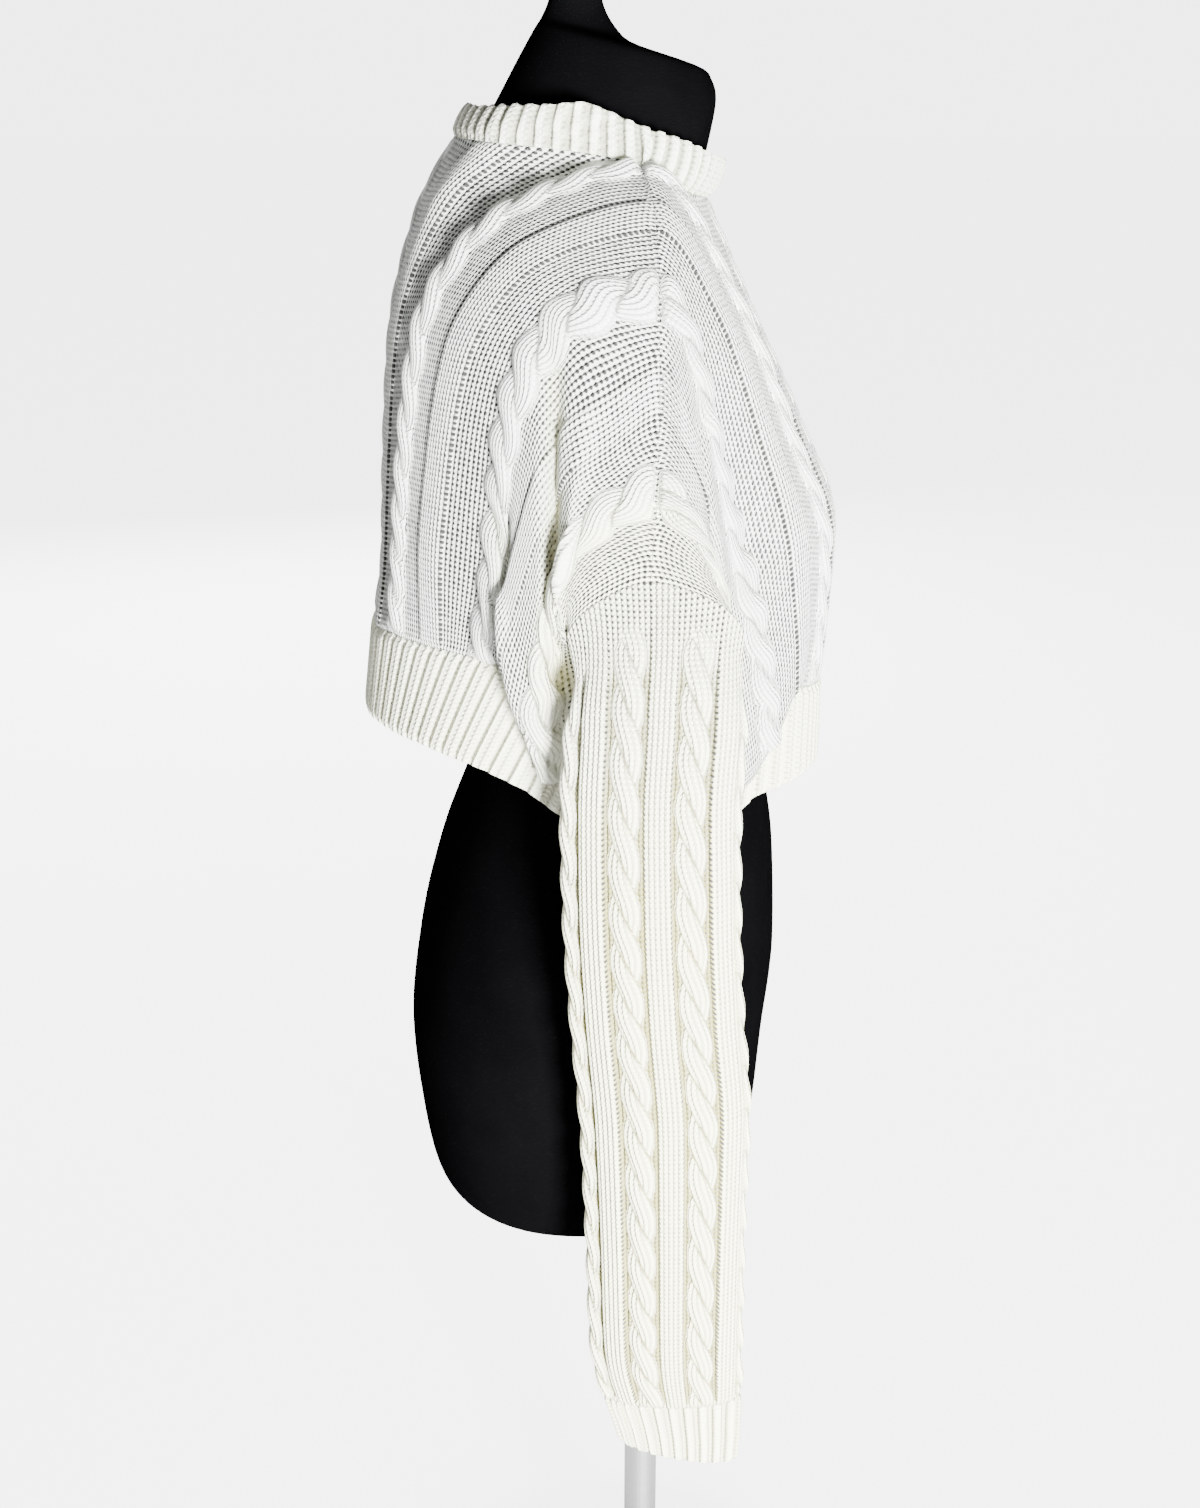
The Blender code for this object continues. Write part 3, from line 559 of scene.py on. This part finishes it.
SLEEVE_GUTTER_SHADE = 60     # over this length the painted shade in the gutters beside them comes up
SLEEVE_WARMTH = {"top": 0.55, "more_below": 0.45, "over": 200}     # how yellow the yarn looks
FIRST_CABLE = 7.54     # wales from the inside of the arm, round the back, to the middle of the first cable
CUFF_RIBS = 20
CUFF_RIB = {"plump": 0.15, "rise": 2.3, "floor": -0.9, "shade": 0.45, "warmth": 0.80}
CUFF_SEAM = 3          # the cuff's ribs rise over this length from its seam


def armhole_loop(side):
    """The armhole as a loop of the panels' own points, from the underarm up the back and down the front."""
    edge = -1 if side > 0 else 0
    up_the_back = back_panel.grid[SEAM_ROWS:, edge]
    down_the_front = front_panel.grid[SEAM_ROWS:, edge][::-1]
    return np.concatenate([up_the_back, down_the_front[1:-1]]) * (side, 1, 1)


def sleeve_ring(ring, count):
    """A ring of the sleeve: an oval through its outer and inner edge, from the inner edge round the back."""
    outer_out, outer_down, inner_out, inner_down, back, front = ring
    turn = angles(count)
    middle = np.array([(outer_out + inner_out) / 2, (back + front) / 2, (outer_down + inner_down) / 2])
    to_inner = np.array([(inner_out - outer_out) / 2, 0, (inner_down - outer_down) / 2])
    to_back = np.array([0, (back - front) / 2, 0])
    return middle + np.cos(turn)[:, None] * to_inner + np.sin(turn)[:, None] * to_back


def sleeve_grid(shares, armhole):
    """Rings of the sleeve's cloth at places in the table of rings, with the armhole as place 0."""
    count = len(armhole)
    rings = np.array([armhole] + [sleeve_ring(r, count) for r in SLEEVE_RINGS.values()])
    grid = steady(np.arange(len(rings)), rings, shares)
    turn = angles(count)
    towards_end = np.clip(shares - (len(rings) - 3), 0, 2)[:, None] / 2
    grid[..., 2] -= CUFF_WAVE * np.sin(turn)[None] * towards_end
    return grid


def share_round(grid):
    """The share of the way round each ring, from 0 to nearly 1, measured along the cloth."""
    steps = np.linalg.norm(np.roll(grid, -1, axis=1) - grid, axis=-1)
    return (np.cumsum(steps, axis=1) - steps) / steps.sum(axis=1, keepdims=True)


def sleeve(side, name):
    """A sleeve and its cuff, which share the ring between them."""
    armhole = armhole_loop(side)
    cuff, last = 1 + list(SLEEVE_RINGS).index(CUFF_STARTS), len(SLEEVE_RINGS)
    grid = sleeve_grid(np.linspace(0, cuff, SLEEVE_ROWS + 1), armhole) * (side, 1, 1)
    arm = Cloth(f"sleeve_{name}_knit", f"sleeve_{name}", grid, ring=True)
    arm.up = arm.up[-1] - arm.up
    wales = SLEEVE_REPEATS * SLEEVE_KNIT["repeat"]
    wale = share_round(grid) * wales - FIRST_CABLE
    below = arm.up[0] - arm.up
    warm = SLEEVE_WARMTH["top"] + SLEEVE_WARMTH["more_below"] * ease(below / SLEEVE_WARMTH["over"])
    begun = ease((below - PURL_ENDS) / KNIT_STARTS)
    knit = dict(SLEEVE_KNIT, purl=1 - begun, gutter_shade=ease(below / SLEEVE_GUTTER_SHADE))
    knit |= {key: top + change * begun for key, (top, change) in SLEEVE_OPEN.items()}
    cabled(arm, knit, wale, -side, ease(arm.up / SEAM_REACH) * begun, warm)
    arm.maps["full_turn"] = np.full_like(wale, wales)
    grid = sleeve_grid(np.linspace(cuff, last, CUFF_ROWS + 1), armhole) * (side, 1, 1)
    wrist = Cloth(f"cuff_{name}_knit", f"cuff_{name}", grid, ring=True)
    ends = ease(wrist.up / CUFF_SEAM) * to_free_edge(wrist.up[-1] - wrist.up)
    ribbed(wrist, CUFF_RIB, share_round(grid) * CUFF_RIBS, ends)
    wrist.maps["full_turn"] = np.full_like(wrist.up, CUFF_RIBS * 2)
    return arm, wrist


sleeve_right, cuff_right = sleeve(-1, "right")
sleeve_left, cuff_left = sleeve(1, "left")

# ---- The neckband ----------------------------------------
# A short two-by-two rib, picked up round the neckline. It stands off the form's neck and leans in a little.
NECKBAND_TOP = {"back": -97, "front": 38, "half_width": 71}
NECKBAND_DROPS = ((-97, 1), (-66, 0), (-36, 0), (-17, 6), (4, 13), (21, 20), (38, 28))     # forward, down
NECKBAND_BOW = 1.5     # how far its middle stands out
NECKBAND_ROWS, NECKBAND_RIBS = 24, 50
# The band's low warmth greys its yarn: painted shade, as if in the shade of the neck.
NECKBAND_RIB = {"plump": 0.1, "rise": 2.7, "floor": -1.1, "shade": 0.95, "warmth": 0.40}
NECKBAND_SEAM, NECKBAND_EDGE_HEIGHT = 4, 0.65
NECKBAND_RIPPLES = ((0.7, 5, 0.6), (0.5, 9, 0))     # its edge ripples: how high, how often round, where from
NECKBAND_KINK = (-1.45, 0.085, 3.2)     # where round the band it is pinched, how widely and how far in


def neckline():
    """The neckline as a loop of the panels' own points, from the wearer's left round the front."""
    reach = round(NECK_COLUMN / (2 * PANEL_HALF / PANEL_COLUMNS))
    middle = PANEL_COLUMNS // 2
    across_front = front_panel.grid[-1, middle - reach: middle + reach + 1][::-1]
    across_back = back_panel.grid[-1, middle - reach: middle + reach + 1]
    return np.concatenate([across_front, across_back[1:-1]])


def neck_grid():
    """The band from the neckline to its upper edge, an oval of its own that drops towards the front."""
    below = neckline()
    size = NECKBAND_TOP
    middle, reach = (size["front"] + size["back"]) / 2, (size["front"] - size["back"]) / 2
    low_middle = (below[:, 1].max() + below[:, 1].min()) / 2
    low_reach = (below[:, 1].max() - below[:, 1].min()) / 2
    turn = np.arctan2(below[:, 0] / below[:, 0].max(), (below[:, 1] - low_middle) / low_reach)
    above = np.stack([size["half_width"] * np.sin(turn), middle + reach * np.cos(turn)], axis=1)
    place, drop = np.array(NECKBAND_DROPS, float).T
    ripple = sum(height * np.sin(times * turn + start) for height, times, start in NECKBAND_RIPPLES)
    above = np.column_stack([above, np.interp(above[:, 1], place, drop) + ripple])
    shares = np.linspace(0, 1, NECKBAND_ROWS + 1)[:, None, None]
    away = np.stack([np.sin(turn), np.cos(turn), 0 * turn], axis=1)
    place, spread, depth = NECKBAND_KINK
    kink = depth * np.exp(-(((turn - place) / spread) ** 2))[:, None]
    bow = NECKBAND_BOW * 4 * shares * (1 - shares)
    return below + (above - below) * shares + away * (bow - kink * shares)


neckband = Cloth("neckband_knit", "neckband", neck_grid(), ring=True)
neckband_ends = to_free_edge(neckband.up[-1] - neckband.up, NECKBAND_EDGE_HEIGHT)
neckband_ends = ease(neckband.up / NECKBAND_SEAM) * neckband_ends
ribbed(neckband, NECKBAND_RIB, share_round(neckband.grid) * NECKBAND_RIBS, neckband_ends)
neckband.maps["full_turn"] = np.full_like(neckband.up, NECKBAND_RIBS * 2)

# ---- The yarn --------------------------------------------
# Soft cream yarn with a little nap. Small hollows show between the stitches: faint ones between knit wales,
# darker ones over the purl ground, and a row of open ones down each side of a smooth band. Each tone of the
# yarn has a darker colour of painted shade, laid in the creases and where a stitch lies low.
YARN = {
    #                 yarn                    painted shade in the creases
    # The pale tone is cooler than the warm one, and its being darker is painted shade that greys the body as
    # duller light would.
    "pale":   ((0.71, 0.73, 0.71),    (0.25, 0.27, 0.25)),
    "warm":   ((0.87, 0.865, 0.61),   (0.27, 0.25, 0.08)),
}
# The dark in the hollows: the black form seen through the open ones, and painted shade in the closer ones.
HOLLOW = (0.020, 0.020, 0.018)
HOLE_SIZE, OPEN_HOLE = 0.16, 0.18      # a hollow's share of a stitch, and how much more in open knitting
HOLE_LEAST, HOLE_CHANCE = 0.80, 0.35   # no two are alike: at least so much of it, and up to this much more
LEG_SLANT, LEG_HEIGHT, RIDGE_HEIGHT = -0.9, 0.9, 0.75      # a knit wale
BUMP_WAVE, BUMP_HEIGHT = 0.16, 1.1                         # a row of purl bumps
NAP = 0.35             # of the relief, what loose fibres add


def feed(tree, node, inputs):
    """Gives a node its inputs, as numbers or as other nodes' outputs."""
    for socket, value in inputs.items():
        if isinstance(value, bpy.types.NodeSocket):
            tree.links.new(value, node.inputs[socket])
        else:
            node.inputs[socket].default_value = value


def add_node(tree, kind, inputs=None, output=0, **settings):
    """One output of a new shader node."""
    made = tree.nodes.new(kind)
    for name, value in settings.items():
        setattr(made, name, value)
    feed(tree, made, inputs or {})
    return made.outputs[output]


def calc(tree, operation, *values):
    """One step of arithmetic on numbers or on other nodes' outputs."""
    return add_node(tree, "ShaderNodeMath", dict(enumerate(values)), operation=operation)


def blend(tree, share, low, high):
    """A colour between two others."""
    return add_node(tree, "ShaderNodeMix", {"Factor": share, 6: low, 7: high}, 2, data_type="RGBA")


def noise(tree, place, scale, detail):
    """Smooth noise from 0 to 1."""
    return add_node(tree, "ShaderNodeTexNoise", {"Vector": place, "Scale": scale, "Detail": detail})


def within(tree, value):
    """A value held between 0 and 1."""
    return add_node(tree, "ShaderNodeClamp", {"Value": value})


def soft_step(tree, value, low, high, at_low=0.0, at_high=1.0):
    """From one value to another as the input passes from low to high."""
    ends = {"Value": value, "From Min": low, "From Max": high, "To Min": at_low, "To Max": at_high}
    return add_node(tree, "ShaderNodeMapRange", ends, interpolation_type="SMOOTHSTEP")


def new_finish(name):
    """A new material, with its node tree and its shader."""
    made = bpy.data.materials.new(name)
    made.use_nodes = True
    return made, made.node_tree, made.node_tree.nodes["Principled BSDF"]


def knit_material():
    """Stitches from the wale and course of each point. Hollows lie where four stitches meet, wider where the
    knitting is open, and no two are quite alike. Knit wales are ridges with slanting legs, and purl is rows
    of bumps."""
    made, tree, shader = new_finish("cream_knit")
    stitches = add_node(tree, "ShaderNodeUVMap", uv_map="stitches")
    wale, course = (add_node(tree, "ShaderNodeSeparateXYZ", {0: stitches}, axis) for axis in (0, 1))
    purl, opened, crease, warm = (
        add_node(tree, "ShaderNodeAttribute", output=2, attribute_name=key)
        for key in ("purl", "open", "crease", "warm")
    )
    aside = calc(tree, "PINGPONG", wale, 0.5)
    above = calc(tree, "PINGPONG", course, 0.5)
    number = add_node(tree, "ShaderNodeCombineXYZ", {
        0: calc(tree, "ROUND", wale), 1: calc(tree, "ROUND", course),
    })
    chance = add_node(tree, "ShaderNodeTexWhiteNoise", {"Vector": number}, noise_dimensions="2D")
    away = calc(tree, "SQRT", calc(tree, "MULTIPLY_ADD", aside, aside, calc(tree, "MULTIPLY", above, above)))
    size = calc(tree, "MULTIPLY", calc(tree, "MULTIPLY_ADD", opened, OPEN_HOLE, HOLE_SIZE),
                calc(tree, "MULTIPLY_ADD", chance, HOLE_CHANCE, HOLE_LEAST))
    hole = soft_step(tree, calc(tree, "DIVIDE", away, size), 0.55, 1.3, 1.0, 0.0)

    middle = calc(tree, "SUBTRACT", 0.5, aside)
    legs = calc(tree, "PINGPONG", calc(tree, "MULTIPLY_ADD", middle, LEG_SLANT, course), 0.5)
    ridge = soft_step(tree, aside, 0.0, 0.36)
    knit_height = calc(tree, "MULTIPLY_ADD", legs, LEG_HEIGHT, calc(tree, "MULTIPLY", ridge, RIDGE_HEIGHT))
    wave = calc(tree, "COSINE", calc(tree, "MULTIPLY", wale, 2 * np.pi))
    rows = calc(tree, "PINGPONG", calc(tree, "MULTIPLY_ADD", wave, BUMP_WAVE, course), 0.5)
    purl_height = calc(tree, "MULTIPLY_ADD", rows, BUMP_HEIGHT, ridge)
    height = add_node(tree, "ShaderNodeMix", {"Factor": purl, 2: knit_height, 3: purl_height}, 0)
    sunk = calc(tree, "MULTIPLY", hole, calc(tree, "MULTIPLY_ADD", opened, 1.3, 0.2))
    height = calc(tree, "SUBTRACT", height, sunk)
    place = add_node(tree, "ShaderNodeTexCoord", output=3)
    fuzz = noise(tree, place, 2600.0, 2.0)
    bump = add_node(tree, "ShaderNodeBump", {
        "Strength": 0.9, "Distance": 0.0014, "Height": calc(tree, "MULTIPLY_ADD", fuzz, NAP, height),
    })

    (pale_yarn, pale_shade), (warm_yarn, warm_shade) = YARN["pale"], YARN["warm"]
    drift = noise(tree, place, 18.0, 3.0)
    tint = within(tree, calc(tree, "MULTIPLY", warm, calc(tree, "MULTIPLY_ADD", drift, 0.9, 0.55)))
    yarn = blend(tree, tint, (*pale_yarn, 1), (*warm_yarn, 1))
    # The darker colour is painted shade: the yarn turns to it with the crease shade and where a stitch lies
    # low.
    shade = blend(tree, tint, (*pale_shade, 1), (*warm_shade, 1))
    low = calc(tree, "MULTIPLY", soft_step(tree, height, 0.0, 1.3, 0.60, 0.0),
               calc(tree, "MULTIPLY_ADD", opened, 0.9, 0.25))
    depth = within(tree, calc(tree, "MULTIPLY_ADD", crease, 0.85, low))
    # Hollows darken: the open ones show the black form, the closer ones get painted shade.
    dark = within(tree, calc(tree, "MULTIPLY", hole, calc(tree, "MULTIPLY_ADD", opened, 1.6, 0.12)))
    colour = blend(tree, dark, blend(tree, depth, yarn, shade), (*HOLLOW, 1))
    feed(tree, shader, {
        "Base Color": colour, "Normal": bump, "Roughness": 0.95, "Specular IOR Level": 0.2,
        "Sheen Weight": 0.15, "Sheen Roughness": 0.5,
    })
    return made


# ---- Making up the garment -------------------------------
# Every piece is put in its place, and the seams share their directions, so that the walls meet as mitres.
# Each flat size is that of the knitted piece before it is sewn.
GARMENT = (
    # piece        slot    held       width  length  flat area
    (back_panel,   "knit", "draped",  0.63,  0.30,   0.132),
    (front_panel,  "knit", "draped",  0.62,  0.30,   0.108),
    (hem_back,     "rib",  "draped",  0.56,  0.052,  None),
    (hem_front,    "rib",  "draped",  0.45,  0.050,  None),
    (neckband,     "rib",  "draped",  0.50,  0.022,  None),
    (sleeve_right, "knit", "hung",    0.21,  0.44,   None),
    (cuff_right,   "rib",  "hung",    0.175, 0.039,  None),
    (sleeve_left,  "knit", "hung",    0.21,  0.44,   None),
    (cuff_left,    "rib",  "hung",    0.175, 0.039,  None),
)
MET = 0.3              # points of two pieces that are nearer than this are one point of their seam


def share_seams(pieces):
    """Gives points of different pieces that meet at a seam one direction, the mean of all of theirs."""
    loops = [(piece, edge) for piece in pieces for edge in piece.edges()]
    points = np.concatenate([piece.grid[edge] for piece, edge in loops])
    normals = np.concatenate([piece.out[edge] for piece, edge in loops])
    start = 0
    for piece, edge in loops:
        count = len(edge[0])
        own = points[start: start + count]
        met = np.linalg.norm(own[:, None] - points[None], axis=-1) < MET
        mean = met.astype(float) @ normals
        piece.out[edge] = mean / np.linalg.norm(mean, axis=-1, keepdims=True)
        start += count


def placed(name, data):
    """A new object in the scene."""
    made = bpy.data.objects.new(name, data)
    bpy.context.scene.collection.objects.link(made)
    return made


share_seams([row[0] for row in GARMENT])
cream_knit = knit_material()
for piece, slot, held, width, length, area in GARMENT:
    cloth = placed(piece.name, piece.mesh())
    cloth.data.materials.append(cream_knit)
    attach(cloth, "root")
    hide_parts(piece.node)

# ---- The dress form --------------------------------------
# A firm limbless torso with a short neck and a knob on it, covered all over in fine black jersey.
FORM_RINGS = {
    #              back (forward, down)   front (forward, down)   half width   squareness
    "underside":   ((-96, 626),           (24, 626),              92,          2.3),
    "under_curve": ((-119, 621),          (47, 621),              116,         2.4),
    "bottom_edge": ((-131, 607),          (60, 607),              132,         2.5),
    "seat_low":    ((-138, 575),          (67, 575),              144,         2.4),
    "seat":        ((-143, 520),          (72, 520),              150,         2.3),
    "hip":         ((-137, 468),          (77, 468),              146,         2.2),
    "belly":       ((-123, 412),          (75, 412),              135,         2.1),
    "low_waist":   ((-107, 370),          (69, 370),              121,         2.1),
    "waist":       ((-93, 330),           (64, 330),              113,         2.1),
    "ribs":        ((-104, 285),          (72, 285),              120,         2.1),
    "under_bust":  ((-125, 250),          (85, 250),              128,         2.1),
    "bust":        ((-137, 212),          (95, 216),              136,         2.1),
    "chest":       ((-139, 168),          (79, 174),              138,         2.1),
    "armhole":     ((-133, 122),          (58, 130),              134,         2.1),
    "shoulder":    ((-125, 84),           (41, 96),               121,         2.1),
    "shoulder_top": ((-113, 58),          (27, 74),               96,          2.1),
    "neck_root":   ((-102, 28),           (22, 56),               70,          2.0),
    "neck":        ((-86, 4),             (27, 30),               57,          2.0),
    "neck_high":   ((-71, -22),           (33, -2),               50,          2.0),
    "neck_edge":   ((-62, -37),           (29, -15),              43,          2.0),
    "post_root":   ((-58, -43),           (-16, -33),             20,          2.0),
    "post":        ((-54, -54),           (-27, -52),             13.5,        2.0),
    "post_top":    ((-53, -76),           (-29, -76),             12,          2.0),
    "post_end":    ((-48, -81),           (-34, -81),             7,           2.0),
}
FORM_COLUMNS, FORM_STEPS = 96, 8
JERSEY_COURSES = 1100.0        # in a metre
JERSEY = ((0.0008, 0.0008, 0.0009, 1), (0.0016, 0.0016, 0.0018, 1))    # two blacks that it drifts between


def form_ring(ring, count):
    """An oval ring of the form, flatter at front and back the higher its squareness."""
    (back, back_down), (front, front_down), half_width, squareness = ring
    turn = angles(count)
    across = np.sign(np.sin(turn)) * np.abs(np.sin(turn)) ** (2 / squareness)
    ahead = np.sign(np.cos(turn)) * np.abs(np.cos(turn)) ** (2 / squareness)
    return np.stack([
        half_width * across,
        (front + back) / 2 + (front - back) / 2 * ahead,
        (front_down + back_down) / 2 + (front_down - back_down) / 2 * ahead,
    ], axis=1)


def form_mesh():
    """The rings joined by steady curves, with a point at each end to close them."""
    rings = np.array([form_ring(r, FORM_COLUMNS) for r in FORM_RINGS.values()])
    gaps = len(rings) - 1
    grid = steady(np.arange(len(rings)), rings, np.linspace(0, gaps, gaps * FORM_STEPS + 1))
    rows, columns = grid.shape[:2]
    ends = np.stack([grid[0].mean(axis=0), grid[-1].mean(axis=0)])
    points = np.concatenate([grid.reshape(-1, 3), ends])
    here, beside = np.arange(columns), (np.arange(columns) + 1) % columns
    end, last = np.full(columns, rows * columns), (rows - 1) * columns
    under, over = np.stack([end, here, beside], 1), np.stack([end + 1, beside + last, here + last], 1)
    sides = quad_faces(rows, columns, ring=True)[:, ::-1]
    made = bpy.data.meshes.new("form_cover")
    made.from_pydata(in_frame(points).tolist(), [], sides.tolist() + under.tolist() + over.tolist())
    made.shade_smooth()
    return made


def jersey_material():
    """Fine rows of knitting with a little nap, and black that drifts a little from place to place."""
    made, tree, shader = new_finish("black_jersey")
    place = add_node(tree, "ShaderNodeTexCoord", output=3)
    up = add_node(tree, "ShaderNodeSeparateXYZ", {0: place}, 2)
    courses = calc(tree, "PINGPONG", calc(tree, "MULTIPLY", up, JERSEY_COURSES), 0.5)
    fuzz = noise(tree, place, 1500.0, 2.0)
    height = calc(tree, "MULTIPLY_ADD", fuzz, 0.8, courses)
    bump = add_node(tree, "ShaderNodeBump", {"Strength": 0.35, "Distance": 0.0003, "Height": height})
    colour = blend(tree, noise(tree, place, 30.0, 2.0), *JERSEY)
    feed(tree, shader, {"Base Color": colour, "Normal": bump, "Roughness": 0.9, "Specular IOR Level": 0.0})
    return made


form_cover = placed("form_cover", form_mesh())
form_cover.data.materials.append(jersey_material())
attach(form_cover, "root")
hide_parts("dress_form")

# ---- The stand -------------------------------------------
# A turned steel pole, with a collar under the form, stands in the hub of a heavy round foot. Both are brushed
# all the way round.
STEEL = ((0.50, 0.50, 0.51, 1), (0.66, 0.66, 0.67, 1))     # two greys that the fine lines lie between


def steel_material():
    """Steel with fine lines round it: a noise that is squeezed along the part's height."""
    made, tree, shader = new_finish("brushed_steel")
    place = add_node(tree, "ShaderNodeTexCoord", output=3)
    stretched = add_node(tree, "ShaderNodeMapping", {"Vector": place, "Scale": (40.0, 40.0, 2600.0)})
    lines = noise(tree, stretched, 1.0, 4.0)
    bump = add_node(tree, "ShaderNodeBump", {"Strength": 0.15, "Distance": 0.0001, "Height": lines})
    rough = add_node(tree, "ShaderNodeMapRange", {"Value": lines, "To Min": 0.26, "To Max": 0.42})
    colour = blend(tree, lines, *STEEL)
    feed(tree, shader, {"Base Color": colour, "Normal": bump, "Roughness": rough, "Metallic": 1.0})
    return made


steel = steel_material()
for name in ("pole", "foot"):
    node = bpy.data.objects[name]
    for slot in node.material_slots:
        slot.material = steel

# ---- The floor, the light and the camera -----------------
# A plain floor and backdrop that the camera sees as nearly white. The main light stands low on the wearer's
# right, a little to the front, and two weak ones fill in the front and the far side.
FLOOR_HALF = 60.0
FLOOR_PAINT, WHITE = (0.86, 0.86, 0.86, 1), (1, 1, 1, 1)
BACKDROP_GLOW = 4.5    # how bright the floor and the backdrop look to the camera itself
ROOM_LIGHT = 0.38      # how bright they are to everything else
LIGHTS = {
    #          place                 aimed at            size   watts
    "main":   ((-3.2, -1.00, 0.36),  (0, 0, 0.80),       0.7,   1330),
    "front":  ((-0.6, -2.8, 1.0),    (0, 0, 0.85),       1.8,   30),
    "far":    ((3.4, 0.8, 1.9),      (0, 0, 0.85),       1.8,   230),
}
CAMERA_PLACE = (-1.0, 0.028, 1.070)
CAMERA_PITCH, CAMERA_TURN = 70.0, -90      # degrees up from straight down, and round from facing +Y
CAMERA_LENS = 42.64

floor_mesh = bpy.data.meshes.new("floor")
floor_corners = [(x * FLOOR_HALF, y * FLOOR_HALF, 0) for x, y in ((-1, -1), (1, -1), (1, 1), (-1, 1))]
floor_mesh.from_pydata(floor_corners, [], [(0, 1, 2, 3)])
paint, paint_tree, paint_shader = new_finish("pale_floor")
seen = add_node(paint_tree, "ShaderNodeLightPath")
glow = calc(paint_tree, "MULTIPLY", seen, BACKDROP_GLOW - ROOM_LIGHT)
feed(paint_tree, paint_shader, {
    "Base Color": FLOOR_PAINT, "Roughness": 0.95, "Emission Color": WHITE, "Emission Strength": glow,
})
floor_mesh.materials.append(paint)
floor = placed("floor", floor_mesh)

world = bpy.data.worlds.new("studio")
world.use_nodes = True
sky = world.node_tree
seen = add_node(sky, "ShaderNodeLightPath")
glow = calc(sky, "MULTIPLY_ADD", seen, BACKDROP_GLOW - ROOM_LIGHT, ROOM_LIGHT)
feed(sky, sky.nodes["Background"], {"Color": WHITE, "Strength": glow})
bpy.context.scene.world = world


def aimed(place, target):
    """The turn that points an object's -Z from a place at a target."""
    return (Vector(target) - Vector(place)).to_track_quat("-Z", "Y").to_euler()


for name, (place, target, size, watts) in LIGHTS.items():
    light = bpy.data.lights.new(f"light_{name}", "AREA")
    light.size = size
    light.energy = watts
    lamp = placed(f"light_{name}", light)
    lamp.location = place
    lamp.rotation_euler = aimed(place, target)

camera_data = bpy.data.cameras.new("camera")
camera_data.lens = CAMERA_LENS
camera = placed("camera", camera_data)
camera.location = CAMERA_PLACE
camera.rotation_euler = (np.radians(CAMERA_PITCH), 0, np.radians(CAMERA_TURN))
bpy.context.scene.camera = camera
